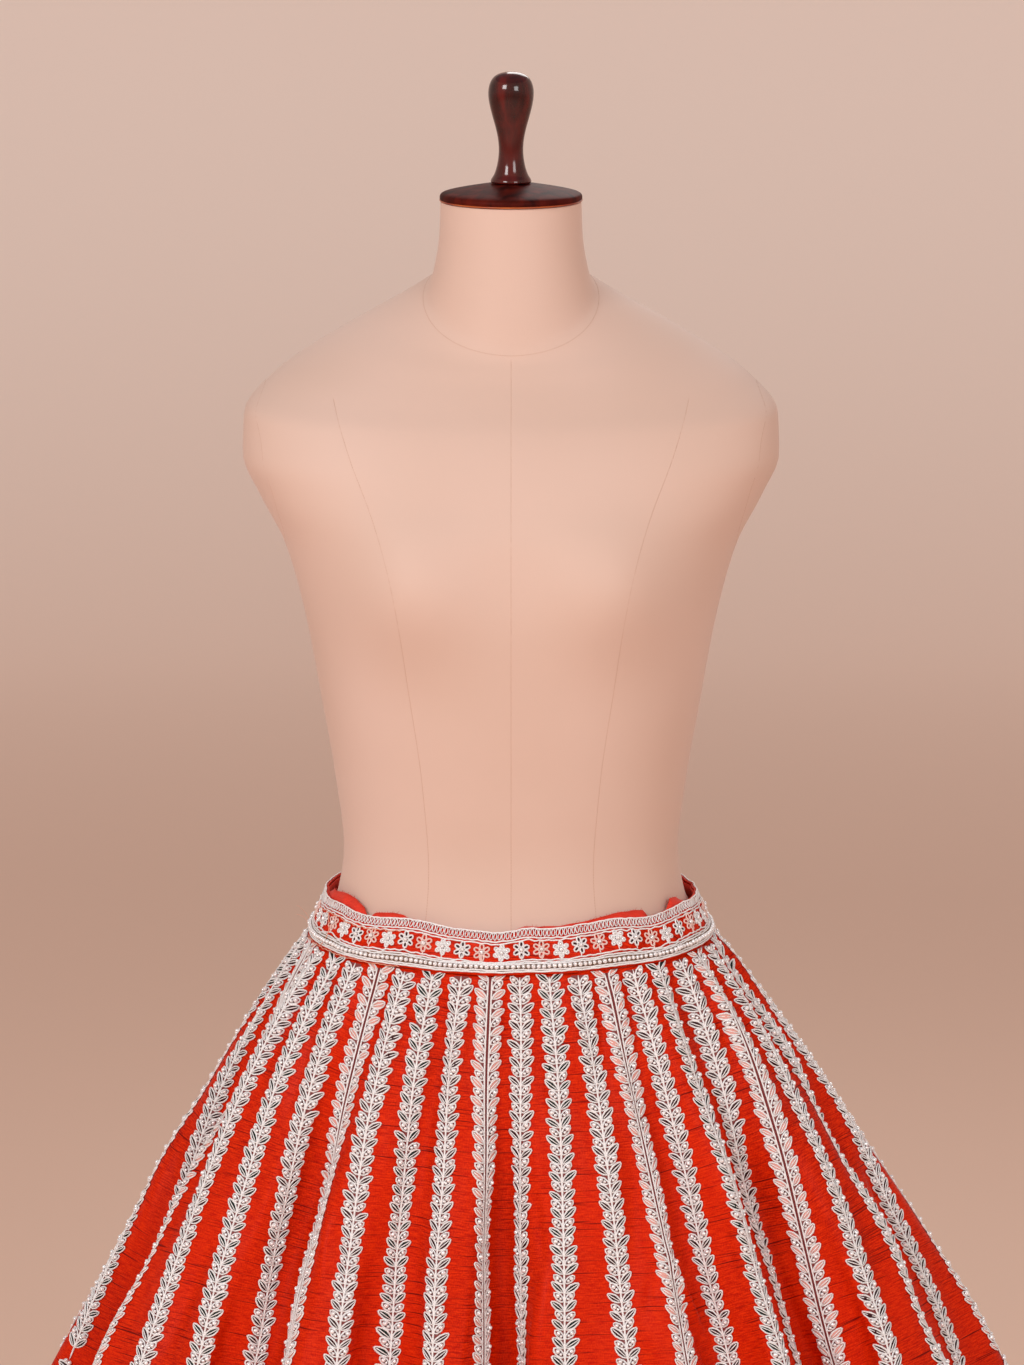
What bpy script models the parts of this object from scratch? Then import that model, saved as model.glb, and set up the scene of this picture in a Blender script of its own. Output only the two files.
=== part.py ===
"""A ten-kali lehenga skirt with a waistband, resting on a limbless dress form and its stand.

Metres, +Z up, front towards -Y, origin on the floor under the middle of the stand's base.
A place runs round the skirt in stripe pitches: 0 is the centre-front seam, + goes to +X, and 40 is once round.
A fall runs down the skirt: 0 is the waistband's lower edge, 1 is the hem.
"""
import bmesh
import bpy
import numpy as np
from math import cos, pi, radians, sin, tan
from mathutils import Matrix, Vector

# Cut of the skirt
KALIS = 10
STRIPES_PER_KALI = 4
STRIPES = KALIS * STRIPES_PER_KALI
SEAM_SHIFT = 0.70           # the centre-front seam lies this many pitches to the -X side
CLOTH = 0.0020              # silk, lining and the embroidery's backing
SEAM_GAP = 0.0003
WAIST_LEVEL = 1.006         # middle of the waistband's lower edge
HEM_LEVEL = 0.032
HEM_LIFT_AT_SIDES = 0.040
WAIST_TILT = radians(6.2)   # the waistband dips at the front

# Embroidered stripes: a low ridge from the waistband to their finials
RIDGE_HALF_WIDTH = 0.0087
RIDGE_HEIGHT = 0.0014
RIDGE_START = 0.015
RIDGE_END = 0.338
ROWS = (0.0, RIDGE_START, 0.05, 0.11, 0.18, 0.26, RIDGE_END, 0.346, 0.46, 0.60, 0.78, 1.0)

# fall, half width at -X, half width at +X, half depth, squareness
SECTIONS = (
    (0.00, 0.1465, 0.1465, 0.1080, 2.10),
    (0.10, 0.2100, 0.2190, 0.1290, 2.15),
    (0.22, 0.2750, 0.2950, 0.1540, 2.20),
    (0.34, 0.3360, 0.3620, 0.1820, 2.25),
    (0.60, 0.4650, 0.4980, 0.2700, 2.20),
    (1.00, 0.6480, 0.6720, 0.4200, 2.10),
)

# place of the valley, half width in pitches, depth at the stripes' ends, depth at the hem, rise
FOLD_FALL = 0.34
FOLDS = (
    (-17.8, 2.0, 0.012, 0.060, 1.3),
    (-14.4, 1.9, 0.014, 0.060, 1.3),
    (-11.2, 1.5, 0.018, 0.065, 1.3),
    (-8.0, 1.1, 0.044, 0.070, 0.8),
    (-3.9, 0.9, 0.044, 0.065, 0.9),
    (-1.5, 0.9, 0.036, 0.060, 1.1),
    (0.6, 0.8, 0.050, 0.062, 1.15),
    (4.5, 0.9, 0.036, 0.050, 0.8),
    (6.5, 1.1, 0.066, 0.080, 1.05),
    (9.6, 1.1, 0.022, 0.065, 0.8),
    (12.0, 1.3, 0.018, 0.065, 1.3),
    (14.8, 1.6, 0.014, 0.060, 1.3),
    (18.5, 1.9, 0.012, 0.060, 1.3),
)

# Waistband: a strip of silk with two raised trims, meeting over the centre-back seam
BAND_HEIGHT = 0.034
BAND_TOP_HALF_WIDTH = 0.1335
BAND_TOP_HALF_DEPTH = 0.0975
BAND_PROUD = 0.0008         # how far it stands out from the kalis
BAND_CLOTH = 0.0020
BAND_SEGMENTS = 56
LOWER_TRIM = (0.0020, 0.0123, 0.0016)   # from, to, height
UPPER_TRIM = (0.0256, 0.0336, 0.0014)
TRIM_EDGE = 0.0002
BAND_END_PLACE = STRIPES / 2

# Facing inside the waistband, whose raw edge peeks out above it
FACING_CLOTH = 0.0012
FACING_BELOW_TOP = 0.0015
FACING_LOWER_EDGE = 0.0010
# place, half width in pitches, height above the waistband's top
PEEKS = (
    (-5.3, 2.6, 0.0070),
    (7.1, 2.2, 0.0060),
)

# Dress form: level, half width, half depth, middle's y, squareness, forward tilt in degrees
FORM_RINGS = (
    (0.8200, 0.1480, 0.1000, 0.004, 2.2, 0),
    (0.8700, 0.1560, 0.1040, 0.004, 2.2, 0),
    (0.9300, 0.1570, 0.1050, 0.003, 2.2, 3),
    (0.9750, 0.1515, 0.1060, 0.001, 2.15, 5),
    (1.0060, 0.1430, 0.1045, 0.000, 2.10, 6.2),
    (1.0360, 0.1262, 0.0915, 0.000, 2.10, 6.2),
    (1.0700, 0.1215, 0.0890, 0.000, 2.10, 6),
    (1.1200, 0.1270, 0.0950, -0.001, 2.15, 5),
    (1.1800, 0.1370, 0.1040, -0.003, 2.20, 3),
    (1.2400, 0.1480, 0.1100, -0.004, 2.25, 0),
    (1.2900, 0.1620, 0.1090, -0.003, 2.30, 0),
    (1.3250, 0.1800, 0.1040, 0.000, 2.40, 2),
    (1.3550, 0.1925, 0.0970, 0.002, 2.40, 5),
    (1.3840, 0.1915, 0.0880, 0.004, 2.35, 10),
    (1.4070, 0.1720, 0.0770, 0.006, 2.20, 16),
    (1.4335, 0.1245, 0.0640, 0.009, 2.10, 24),
    (1.4520, 0.0800, 0.0560, 0.008, 2.00, 32),
    (1.4635, 0.0612, 0.0525, 0.006, 2.00, 34),
    (1.4860, 0.0545, 0.0505, 0.005, 2.00, 24),
    (1.5090, 0.0512, 0.0492, 0.004, 2.00, 15),
    (1.5325, 0.0503, 0.0488, 0.003, 2.00, 9),
)
FORM_SEGMENTS = 36
BUST_LEVEL = 1.262
BUST_SIDE = 0.074
BUST_HEIGHT = 0.018
BUST_REACH = 0.046

# Turned wooden cap and knob on the neck, as radius and height above its seat
CAP_PROFILE = (
    (0.0502, 0.0000),
    (0.0510, 0.0012),
    (0.0510, 0.0042),
    (0.0496, 0.0058),
    (0.0340, 0.0092),
    (0.0190, 0.0118),
    (0.0156, 0.0125),
)
KNOB_PROFILE = (
    (0.0146, 0.0000),
    (0.0143, 0.0030),
    (0.0116, 0.0075),
    (0.0093, 0.0140),
    (0.0084, 0.0240),
    (0.0088, 0.0340),
    (0.0112, 0.0450),
    (0.0144, 0.0540),
    (0.0163, 0.0620),
    (0.0160, 0.0690),
    (0.0130, 0.0745),
    (0.0080, 0.0775),
)
TURNED_SEGMENTS = 24

# Stand
POLE_RADIUS = 0.0155
BASE_RADIUS = 0.200
BASE_THICKNESS = 0.010
BASE_BEVEL = 0.003
BASE_SEGMENTS = 48

RING_SAMPLES = 2880
PLACE_STEP = 0.04
FALL_STEP = 0.004


def clear_scene():
    for thing in list(bpy.data.objects):
        bpy.data.objects.remove(thing, do_unlink=True)


def plain_material(name, color, roughness, metallic=0.0):
    made = bpy.data.materials.new(name)
    made.use_nodes = True
    shader = made.node_tree.nodes["Principled BSDF"]
    shader.inputs["Base Color"].default_value = (*color, 1.0)
    shader.inputs["Roughness"].default_value = roughness
    shader.inputs["Metallic"].default_value = metallic
    return made


def make_object(name, points, faces, material):
    mesh = bpy.data.meshes.new(name)
    mesh.from_pydata([tuple(p) for p in points], [], faces)
    mesh.update()
    mesh.materials.append(material)
    mesh.shade_smooth()
    mesh.set_sharp_from_angle(angle=radians(40))
    thing = bpy.data.objects.new(name, mesh)
    bpy.context.scene.collection.objects.link(thing)
    return thing


def between_rows(rows, at, column):
    """A value of the table at this fall, on a smooth curve that never overshoots its rows."""
    x = np.array([row[0] for row in rows])
    y = np.array([row[column] for row in rows])
    step = np.diff(x)
    rate = np.diff(y) / step
    slope = np.concatenate([[rate[0]], np.zeros(len(x) - 2), [rate[-1]]])
    for i in range(1, len(x) - 1):
        if rate[i - 1] * rate[i] > 0:
            before = (2 * step[i] + step[i - 1]) / rate[i - 1]
            after = (step[i] + 2 * step[i - 1]) / rate[i]
            slope[i] = 3 * (step[i - 1] + step[i]) / (before + after)
    i = int(np.clip(np.searchsorted(x, at) - 1, 0, len(x) - 2))
    u = (at - x[i]) / step[i]
    start = (2 * u**3 - 3 * u**2 + 1) * y[i] + (u**3 - 2 * u**2 + u) * step[i] * slope[i]
    end = (3 * u**2 - 2 * u**3) * y[i + 1] + (u**3 - u**2) * step[i] * slope[i + 1]
    return start + end


def oval(left, right, depth, squareness, samples):
    """A squared oval from its front, spaced evenly, with its outward directions."""
    turn = np.linspace(0, 2 * pi, samples, endpoint=False)
    across, along = np.sin(turn), np.cos(turn)
    half = np.where(across < 0, left, right)
    x = half * np.sign(across) * np.abs(across) ** (2 / squareness)
    y = -depth * np.sign(along) * np.abs(along) ** (2 / squareness)
    x, y = np.append(x, x[0]), np.append(y, y[0])
    run = np.concatenate([[0], np.cumsum(np.hypot(np.diff(x), np.diff(y)))])
    even = np.linspace(0, run[-1], samples, endpoint=False)
    x, y = np.interp(even, run, x), np.interp(even, run, y)
    out_x = np.roll(y, -1) - np.roll(y, 1)
    out_y = np.roll(x, 1) - np.roll(x, -1)
    size = np.hypot(out_x, out_y)
    return x, y, out_x / size, out_y / size


def round_ring(x, y, z, places):
    """Points at these places on a closed ring that starts at its front."""
    x, y, z = np.append(x, x[0]), np.append(y, y[0]), np.append(z, z[0])
    run = np.concatenate([[0], np.cumsum(np.sqrt(np.diff(x)**2 + np.diff(y)**2 + np.diff(z)**2))])
    want = (np.asarray(places, float) - SEAM_SHIFT) % STRIPES / STRIPES * run[-1]
    return np.stack([np.interp(want, run, v) for v in (x, y, z)], axis=-1)


def fold_depth(fold, fall):
    _, _, at_stripe_ends, at_hem, rise = fold
    if fall < FOLD_FALL:
        return at_stripe_ends * (fall / FOLD_FALL) ** rise
    return at_stripe_ends + (at_hem - at_stripe_ends) * (fall - FOLD_FALL) / (1 - FOLD_FALL)


def skirt_row(fall, places):
    """The skirt's outer surface at one fall: a squared oval with its folds pressed in."""
    fall = max(fall, 0.0)
    left, right, depth, squareness = (between_rows(SECTIONS, fall, c) for c in (1, 2, 3, 4))
    x, y, out_x, out_y = oval(left, right, depth, squareness, RING_SAMPLES)
    round_place = np.arange(RING_SAMPLES) / RING_SAMPLES * STRIPES + SEAM_SHIFT
    dent = np.zeros(RING_SAMPLES)
    for fold in FOLDS:
        away = (round_place - fold[0] + STRIPES / 2) % STRIPES - STRIPES / 2
        bowl = 0.5 * (1 + np.cos(pi * away / fold[1]))
        dent += np.where(np.abs(away) < fold[1], fold_depth(fold, fall) * bowl, 0)
    x, y = x - out_x * dent, y - out_y * dent
    waist = WAIST_LEVEL + tan(WAIST_TILT) * (1 - fall) * y
    hem = HEM_LEVEL + HEM_LIFT_AT_SIDES * x**2 / (left * right)
    return round_ring(x, y, waist * (1 - fall) + hem * fall, places)


def band_row(up, places):
    """The waist's outer surface this far above the waistband's lower edge."""
    share = up / BAND_HEIGHT
    width = SECTIONS[0][1] + (BAND_TOP_HALF_WIDTH - SECTIONS[0][1]) * share
    depth = SECTIONS[0][3] + (BAND_TOP_HALF_DEPTH - SECTIONS[0][3]) * share
    x, y, _, _ = oval(width, width, depth, SECTIONS[0][4], RING_SAMPLES)
    lean = SECTIONS[0][1] - BAND_TOP_HALF_WIDTH
    rise = up * np.sqrt(BAND_HEIGHT**2 - lean**2) / BAND_HEIGHT
    return round_ring(x, y, WAIST_LEVEL + rise + tan(WAIST_TILT) * y, places)


def outward(row, at, places, step, upward):
    """Unit directions out of a surface given as row(at, places); upward is the sign of at."""
    along = row(at, places + PLACE_STEP) - row(at, places - PLACE_STEP)
    across = (row(at + step, places) - row(at - step, places)) * upward
    out = np.cross(along, across)
    return out / np.linalg.norm(out, axis=1)[:, None]


def skirt_out(fall, places):
    inside = np.clip(fall, FALL_STEP, 1 - FALL_STEP)
    return outward(skirt_row, inside, places, FALL_STEP, -1)


def band_out(up, places):
    return outward(band_row, up, places, 0.001, 1)


def pitch(fall):
    """Length of cloth from stripe to stripe at one fall."""
    ring = skirt_row(fall, np.linspace(0, STRIPES, 401))
    return np.linalg.norm(np.diff(ring, axis=0), axis=1).sum() / STRIPES


def wall(name, outer, inner, material):
    """A closed wall between two grids of points, rows from the top down.

    Every square is split along the same diagonal, so that the edges of two neighbours stay parallel.
    """
    rows, columns = outer.shape[:2]
    count = rows * columns
    faces = []

    def at(i, j, side):
        return side * count + i * columns + j

    def split(a, b, c, d):
        faces.append([a, b, c])
        faces.append([a, c, d])

    for i in range(rows - 1):
        for j in range(columns - 1):
            split(at(i, j, 0), at(i + 1, j, 0), at(i + 1, j + 1, 0), at(i, j + 1, 0))
            split(at(i, j, 1), at(i, j + 1, 1), at(i + 1, j + 1, 1), at(i + 1, j, 1))
    bottom, end = rows - 1, columns - 1
    for j in range(columns - 1):
        split(at(0, j, 0), at(0, j + 1, 0), at(0, j + 1, 1), at(0, j, 1))
        split(at(bottom, j, 0), at(bottom, j, 1), at(bottom, j + 1, 1), at(bottom, j + 1, 0))
    for i in range(rows - 1):
        split(at(i, 0, 0), at(i, 0, 1), at(i + 1, 0, 1), at(i + 1, 0, 0))
        split(at(i + 1, end, 1), at(i, end, 1), at(i, end, 0), at(i + 1, end, 0))
    points = np.concatenate([outer.reshape(-1, 3), inner.reshape(-1, 3)])
    return make_object(name, points, faces, material)


def swept_loop(name, loops, material):
    """A closed strip through loops of equal count, from one end to the other, with flat ends."""
    count = len(loops[0])
    points = np.concatenate(loops)
    faces = [list(reversed(range(count)))]
    for i in range(len(loops) - 1):
        for j in range(count):
            k = (j + 1) % count
            a, b = i * count + j, i * count + k
            faces.append([a, b, a + count])
            faces.append([b, b + count, a + count])
    last = (len(loops) - 1) * count
    faces.append([last + j for j in range(count)])
    return make_object(name, points, faces, material)


def kali_columns(first, fall):
    """Places of one kali's columns and how far each is raised: edge, foot, middle, foot, ridge and so on."""
    foot = 0.25
    if RIDGE_START <= fall <= RIDGE_END:
        foot = RIDGE_HALF_WIDTH / pitch(fall)
    elif fall < RIDGE_START:
        foot = RIDGE_HALF_WIDTH / pitch(RIDGE_START)
    foot = min(foot, 0.42)
    raised = RIDGE_HEIGHT if RIDGE_START <= fall <= RIDGE_END else 0.0
    places, raises = [], []
    for stripe in range(STRIPES_PER_KALI):
        places += [first + stripe, first + stripe + foot, first + stripe + 0.5, first + stripe + 1 - foot]
        raises += [raised, 0.0, 0.0, 0.0]
    places.append(first + STRIPES_PER_KALI)
    raises.append(raised)
    half_gap = SEAM_GAP / 2 / pitch(fall)
    places[0] += half_gap
    places[-1] -= half_gap
    return np.array(places), np.array(raises)


def make_kali(number, material):
    first = (number - 1) * STRIPES_PER_KALI
    outer, inner = [], []
    for fall in ROWS:
        places, raises = kali_columns(first, fall)
        surface = skirt_row(max(fall, SEAM_GAP), places)
        out = skirt_out(fall, places)
        outer.append(surface + out * raises[:, None])
        inner.append(surface - out * CLOTH)
    return wall(f"kali_{number:02d}", np.array(outer), np.array(inner), material)


def band_places():
    gap = SEAM_GAP / 2 / pitch(0.0)
    return np.linspace(BAND_END_PLACE - STRIPES + gap, BAND_END_PLACE - gap, BAND_SEGMENTS + 1)


def make_waistband(material):
    profile = [(0.0, -BAND_CLOTH), (BAND_HEIGHT, -BAND_CLOTH), (BAND_HEIGHT, UPPER_TRIM[2] / 2)]
    for start, end, height in (UPPER_TRIM, LOWER_TRIM):
        profile += [(end, height), (start, height), (start - TRIM_EDGE, 0.0)]
        if start == UPPER_TRIM[0]:
            profile.append((LOWER_TRIM[1] + TRIM_EDGE, 0.0))
    profile.append((0.0, 0.0))
    places = band_places()
    rings = [band_row(up, places) + band_out(up, places) * (BAND_PROUD + out) for up, out in profile]
    return swept_loop("waistband", np.array(rings).transpose(1, 0, 2), material)


def facing_top(places):
    top = np.full(len(places), BAND_HEIGHT - FACING_BELOW_TOP)
    for place, half_width, height in PEEKS:
        swell = np.clip(1 - np.abs(places - place) / half_width, 0, 1)
        top += (height + FACING_BELOW_TOP) * swell * (2 - swell)
    return top


def make_waist_facing(material):
    places = band_places()
    outside = BAND_PROUD - BAND_CLOTH - SEAM_GAP
    inside = outside - FACING_CLOTH
    loops = []
    for place, top in zip(places, facing_top(places)):
        here = np.array([place])
        corners = ((FACING_LOWER_EDGE, inside), (top, inside), (top, outside), (FACING_LOWER_EDGE, outside))
        loops.append([band_row(up, here)[0] + band_out(up, here)[0] * out for up, out in corners])
    return swept_loop("waist_facing", np.array(loops), material)


def stacked_rings(name, rings, material):
    """A closed body through rings of equal count, from the lowest up, with flat ends."""
    count = len(rings[0])
    points = [p for ring in rings for p in ring]
    faces = [list(reversed(range(count)))]
    for i in range(len(rings) - 1):
        for j in range(count):
            k = (j + 1) % count
            faces.append([i * count + j, i * count + k, (i + 1) * count + k, (i + 1) * count + j])
    top = (len(rings) - 1) * count
    faces.append([top + j for j in range(count)])
    return make_object(name, points, faces, material)


def form_ring(level, width, depth, middle, squareness, tilt):
    x, y, _, _ = oval(width, width, depth, squareness, FORM_SEGMENTS)
    y = y + middle
    z = level + tan(radians(tilt)) * y
    for side in (-1, 1):
        away = ((x - side * BUST_SIDE)**2 + (z - BUST_LEVEL)**2) / BUST_REACH**2
        y = np.where(y < middle, y - BUST_HEIGHT * np.exp(-away), y)
    return np.stack([x, y, z], axis=-1)


def turned_rings(profile, segments):
    turn = np.linspace(0, 2 * pi, segments, endpoint=False)
    return [
        np.stack([r * np.cos(turn), r * np.sin(turn), np.full(segments, h)], axis=-1)
        for r, h in profile
    ]


def make_form(material):
    return stacked_rings("form_body", [form_ring(*row) for row in FORM_RINGS], material)


def make_cap_and_knob(material):
    level, _, _, middle, _, tilt = FORM_RINGS[-1]
    seat = Matrix.Translation((0, middle, level + tan(radians(tilt)) * middle))
    lean = Matrix.Rotation(radians(tilt), 4, "X")
    cap = stacked_rings("form_cap", turned_rings(CAP_PROFILE, TURNED_SEGMENTS), material)
    cap.matrix_world = seat @ lean @ Matrix.Translation((0, 0, SEAM_GAP))
    knob = stacked_rings("form_knob", turned_rings(KNOB_PROFILE, TURNED_SEGMENTS), material)
    height = CAP_PROFILE[-1][1] + 2 * SEAM_GAP
    knob.matrix_world = seat @ lean @ Matrix.Translation((0, 0, height))


def make_stand(material):
    base = (
        (BASE_RADIUS, 0.0),
        (BASE_RADIUS, BASE_THICKNESS - BASE_BEVEL),
        (BASE_RADIUS - BASE_BEVEL, BASE_THICKNESS),
    )
    stacked_rings("stand_base", turned_rings(base, BASE_SEGMENTS), material)
    pole = (
        (POLE_RADIUS, BASE_THICKNESS + SEAM_GAP),
        (POLE_RADIUS, FORM_RINGS[0][0] - SEAM_GAP),
    )
    stacked_rings("stand_pole", turned_rings(pole, TURNED_SEGMENTS), material)


def main():
    clear_scene()
    silk = plain_material("red_silk", (0.55, 0.022, 0.006), 0.45)
    facing = plain_material("facing_cotton", (0.50, 0.030, 0.015), 0.85)
    skin = plain_material("form_skin", (0.78, 0.50, 0.37), 0.55)
    wood = plain_material("turned_wood", (0.06, 0.010, 0.008), 0.18)
    steel = plain_material("stand_steel", (0.03, 0.03, 0.032), 0.45, 0.8)
    for number in range(1, KALIS + 1):
        make_kali(number, silk)
    make_waistband(silk)
    make_waist_facing(facing)
    make_form(skin)
    make_cap_and_knob(wood)
    make_stand(steel)


main()
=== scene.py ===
# %% [markdown]
# # A lehenga skirt on its dress form
# A lehenga is a long skirt cut from flared panels, called kalis, and gathered into a narrow waistband.
# This one is red raw silk with silver embroidery, and it stands on a smooth dress form.
# The frame holds the plain solids at their real size. Each cell below makes one piece or one finish
# on that frame, in metres, with the front towards -Y.

# %% Load the frame
import bmesh
import bpy
import numpy as np
from math import cos, pi, radians, sin, tan
from mathutils import Matrix, Vector


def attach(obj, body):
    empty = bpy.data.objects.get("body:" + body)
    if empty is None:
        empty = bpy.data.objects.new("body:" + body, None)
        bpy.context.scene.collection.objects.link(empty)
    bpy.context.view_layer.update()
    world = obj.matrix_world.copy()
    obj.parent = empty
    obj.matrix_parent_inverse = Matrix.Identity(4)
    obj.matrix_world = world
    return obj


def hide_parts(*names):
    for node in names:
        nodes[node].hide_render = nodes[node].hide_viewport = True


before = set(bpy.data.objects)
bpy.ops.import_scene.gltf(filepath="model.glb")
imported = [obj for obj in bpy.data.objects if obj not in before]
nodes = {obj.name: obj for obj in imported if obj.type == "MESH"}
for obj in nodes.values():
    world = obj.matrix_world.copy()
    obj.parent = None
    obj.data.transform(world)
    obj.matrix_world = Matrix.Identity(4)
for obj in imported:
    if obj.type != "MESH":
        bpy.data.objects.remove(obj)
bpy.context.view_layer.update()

# %% [markdown]
# ## Camera
# The photograph looks slightly down on the waist from 2.4 m, and crops the skirt a third of a metre
# below the waistband. At that distance one of its pixels is 0.72 mm wide, which gives the lens.

# %% Camera
PHOTO_PIXELS_HIGH = 1365
PIXEL = 0.00072
FORM_DISTANCE = 2.40
CAMERA_LEVEL = 1.44
CAMERA_SIDE = 0.0007
CAMERA_DIP = radians(6.0)
SENSOR = 36.0

camera_data = bpy.data.cameras.new("camera")
camera_data.sensor_width = SENSOR
camera_data.lens = FORM_DISTANCE / (PHOTO_PIXELS_HIGH * PIXEL) * SENSOR
camera = bpy.data.objects.new("camera", camera_data)
camera.location = (CAMERA_SIDE, -FORM_DISTANCE, CAMERA_LEVEL)
camera.rotation_euler = (pi / 2 - CAMERA_DIP, 0, 0)
scene = bpy.context.scene
scene.collection.objects.link(camera)
scene.camera = camera
# plain colours in the picture, as a camera's standard profile gives
scene.view_settings.view_transform = "Standard"
print("lens", round(camera_data.lens, 1), "mm")

# %% [markdown]
# ## Small helpers
# Long lists of points go into a mesh fastest through foreach_set. Shapes that are modelled with
# operators are read back with take_shape, so that one motif can be laid on the cloth hundreds of times.

# %% Helpers for meshes
def linked(name, mesh):
    """A new object in the scene that shows this mesh."""
    made = bpy.data.objects.new(name, mesh)
    scene.collection.objects.link(made)
    return made


def pick(piece):
    """Select one piece alone, for the operators."""
    bpy.ops.object.select_all(action="DESELECT")
    piece.select_set(True)
    bpy.context.view_layer.objects.active = piece


def mesh_object(name, points, faces, materials, which=None, maps=None):
    """A mesh from arrays; maps has a UV pair for each corner of each face."""
    points = np.asarray(points, np.float32)
    faces = np.asarray(faces, np.int32)
    count, corners = faces.shape
    mesh = bpy.data.meshes.new(name)
    mesh.vertices.add(len(points))
    mesh.vertices.foreach_set("co", points.ravel())
    mesh.loops.add(count * corners)
    mesh.loops.foreach_set("vertex_index", faces.ravel())
    mesh.polygons.add(count)
    mesh.polygons.foreach_set("loop_start", np.arange(0, count * corners, corners, dtype=np.int32))
    mesh.update(calc_edges=True)
    for material in materials:
        mesh.materials.append(material)
    if which is not None:
        mesh.polygons.foreach_set("material_index", np.asarray(which, np.int32))
    if maps is not None:
        layer = mesh.uv_layers.new(name="UVMap")
        layer.data.foreach_set("uv", np.asarray(maps, np.float32).ravel())
    mesh.polygons.foreach_set("use_smooth", np.ones(count, bool))
    mesh.validate()
    return linked(name, mesh)


def take_shape(thing, twists=1.0):
    """Points, triangles and corner UVs of a modelled object, which is then removed."""
    work = bmesh.new()
    work.from_mesh(thing.data)
    bmesh.ops.triangulate(work, faces=work.faces)
    work.verts.index_update()
    layer = work.loops.layers.uv.verify()
    points = np.array([v.co for v in work.verts])
    faces = np.array([[v.index for v in f.verts] for f in work.faces])
    maps = np.array([[loop[layer].uv for loop in f.loops] for f in work.faces])
    work.free()
    bpy.data.objects.remove(thing, do_unlink=True)
    return points, faces, maps * (twists, 1.0)


def grid_faces(rows, columns, closed=False):
    """Squares of a grid of points; closed joins the last column to the first."""
    i, j = np.meshgrid(np.arange(rows - 1), np.arange(columns if closed else columns - 1), indexing="ij")
    k = (j + 1) % columns
    upper, lower = i * columns, (i + 1) * columns
    return np.stack([upper + j, lower + j, lower + k, upper + k], -1).reshape(-1, 4)


def halved(squares):
    """Two triangles for each square of faces, or of corner UVs."""
    return np.concatenate([squares[:, [0, 1, 2]], squares[:, [0, 2, 3]]])


# %% [markdown]
# ## The skirt's surface
# The kalis, and everything embroidered on them, lie on one surface. A place runs round it in stripe
# pitches: 0 is the centre-front seam and 40 is once round. A fall runs from 0 at the waistband to 1 at
# the hem. The sections are squared ovals, and each fold is a valley pressed into them. The same sizes
# made the frame's solids, so the cloth lies on them.

# %% Sections and folds
KALIS = 10
STRIPES_PER_KALI = 4
STRIPES = KALIS * STRIPES_PER_KALI
SEAM_SHIFT = 0.70
SEAM_GAP = 0.0003
WAIST_LEVEL = 1.006
HEM_LEVEL = 0.032
HEM_LIFT_AT_SIDES = 0.040
WAIST_TILT = radians(6.2)

# fall, half width at -X, half width at +X, half depth, squareness
SECTIONS = np.array([
    (0.00, 0.1465, 0.1465, 0.1080, 2.10),
    (0.10, 0.2100, 0.2190, 0.1290, 2.15),
    (0.22, 0.2750, 0.2950, 0.1540, 2.20),
    (0.34, 0.3360, 0.3620, 0.1820, 2.25),
    (0.60, 0.4650, 0.4980, 0.2700, 2.20),
    (1.00, 0.6480, 0.6720, 0.4200, 2.10),
])
FOLD_FALL = 0.34
# place of the valley, half width in pitches, depth at the stripes' ends, depth at the hem, rise
FOLDS = (
    (-17.8, 2.0, 0.012, 0.060, 1.3),
    (-14.4, 1.9, 0.014, 0.060, 1.3),
    (-11.2, 1.5, 0.018, 0.065, 1.3),
    (-8.0, 1.1, 0.044, 0.070, 0.8),
    (-3.9, 0.9, 0.044, 0.065, 0.9),
    (-1.5, 0.9, 0.036, 0.060, 1.1),
    (0.6, 0.8, 0.050, 0.062, 1.15),
    (4.5, 0.9, 0.036, 0.050, 0.8),
    (6.5, 1.1, 0.066, 0.080, 1.05),
    (9.6, 1.1, 0.022, 0.065, 0.8),
    (12.0, 1.3, 0.018, 0.065, 1.3),
    (14.8, 1.6, 0.014, 0.060, 1.3),
    (18.5, 1.9, 0.012, 0.060, 1.3),
)
SAMPLES = 2880


def between_rows(rows, at, column):
    """A value of the table at this fall, on a smooth curve that never overshoots its rows."""
    x, y = rows[:, 0], rows[:, column]
    step = np.diff(x)
    rate = np.diff(y) / step
    slope = np.concatenate([[rate[0]], np.zeros(len(x) - 2), [rate[-1]]])
    for i in range(1, len(x) - 1):
        if rate[i - 1] * rate[i] > 0:
            before = (2 * step[i] + step[i - 1]) / rate[i - 1]
            after = (step[i] + 2 * step[i - 1]) / rate[i]
            slope[i] = 3 * (step[i - 1] + step[i]) / (before + after)
    i = int(np.clip(np.searchsorted(x, at) - 1, 0, len(x) - 2))
    u = (at - x[i]) / step[i]
    start = (2 * u**3 - 3 * u**2 + 1) * y[i] + (u**3 - 2 * u**2 + u) * step[i] * slope[i]
    end = (3 * u**2 - 2 * u**3) * y[i + 1] + (u**3 - u**2) * step[i] * slope[i + 1]
    return start + end


def oval(left, right, depth, squareness, samples):
    """A squared oval from its front, evenly spaced, with its outward directions."""
    turn = np.linspace(0, 2 * pi, samples, endpoint=False)
    across, along = np.sin(turn), np.cos(turn)
    half = np.where(across < 0, left, right)
    x = half * np.sign(across) * np.abs(across) ** (2 / squareness)
    y = -depth * np.sign(along) * np.abs(along) ** (2 / squareness)
    x, y = np.append(x, x[0]), np.append(y, y[0])
    run = np.concatenate([[0], np.cumsum(np.hypot(np.diff(x), np.diff(y)))])
    even = np.linspace(0, run[-1], samples, endpoint=False)
    x, y = np.interp(even, run, x), np.interp(even, run, y)
    out_x, out_y = np.roll(y, -1) - np.roll(y, 1), np.roll(x, 1) - np.roll(x, -1)
    size = np.hypot(out_x, out_y)
    return x, y, out_x / size, out_y / size


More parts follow.
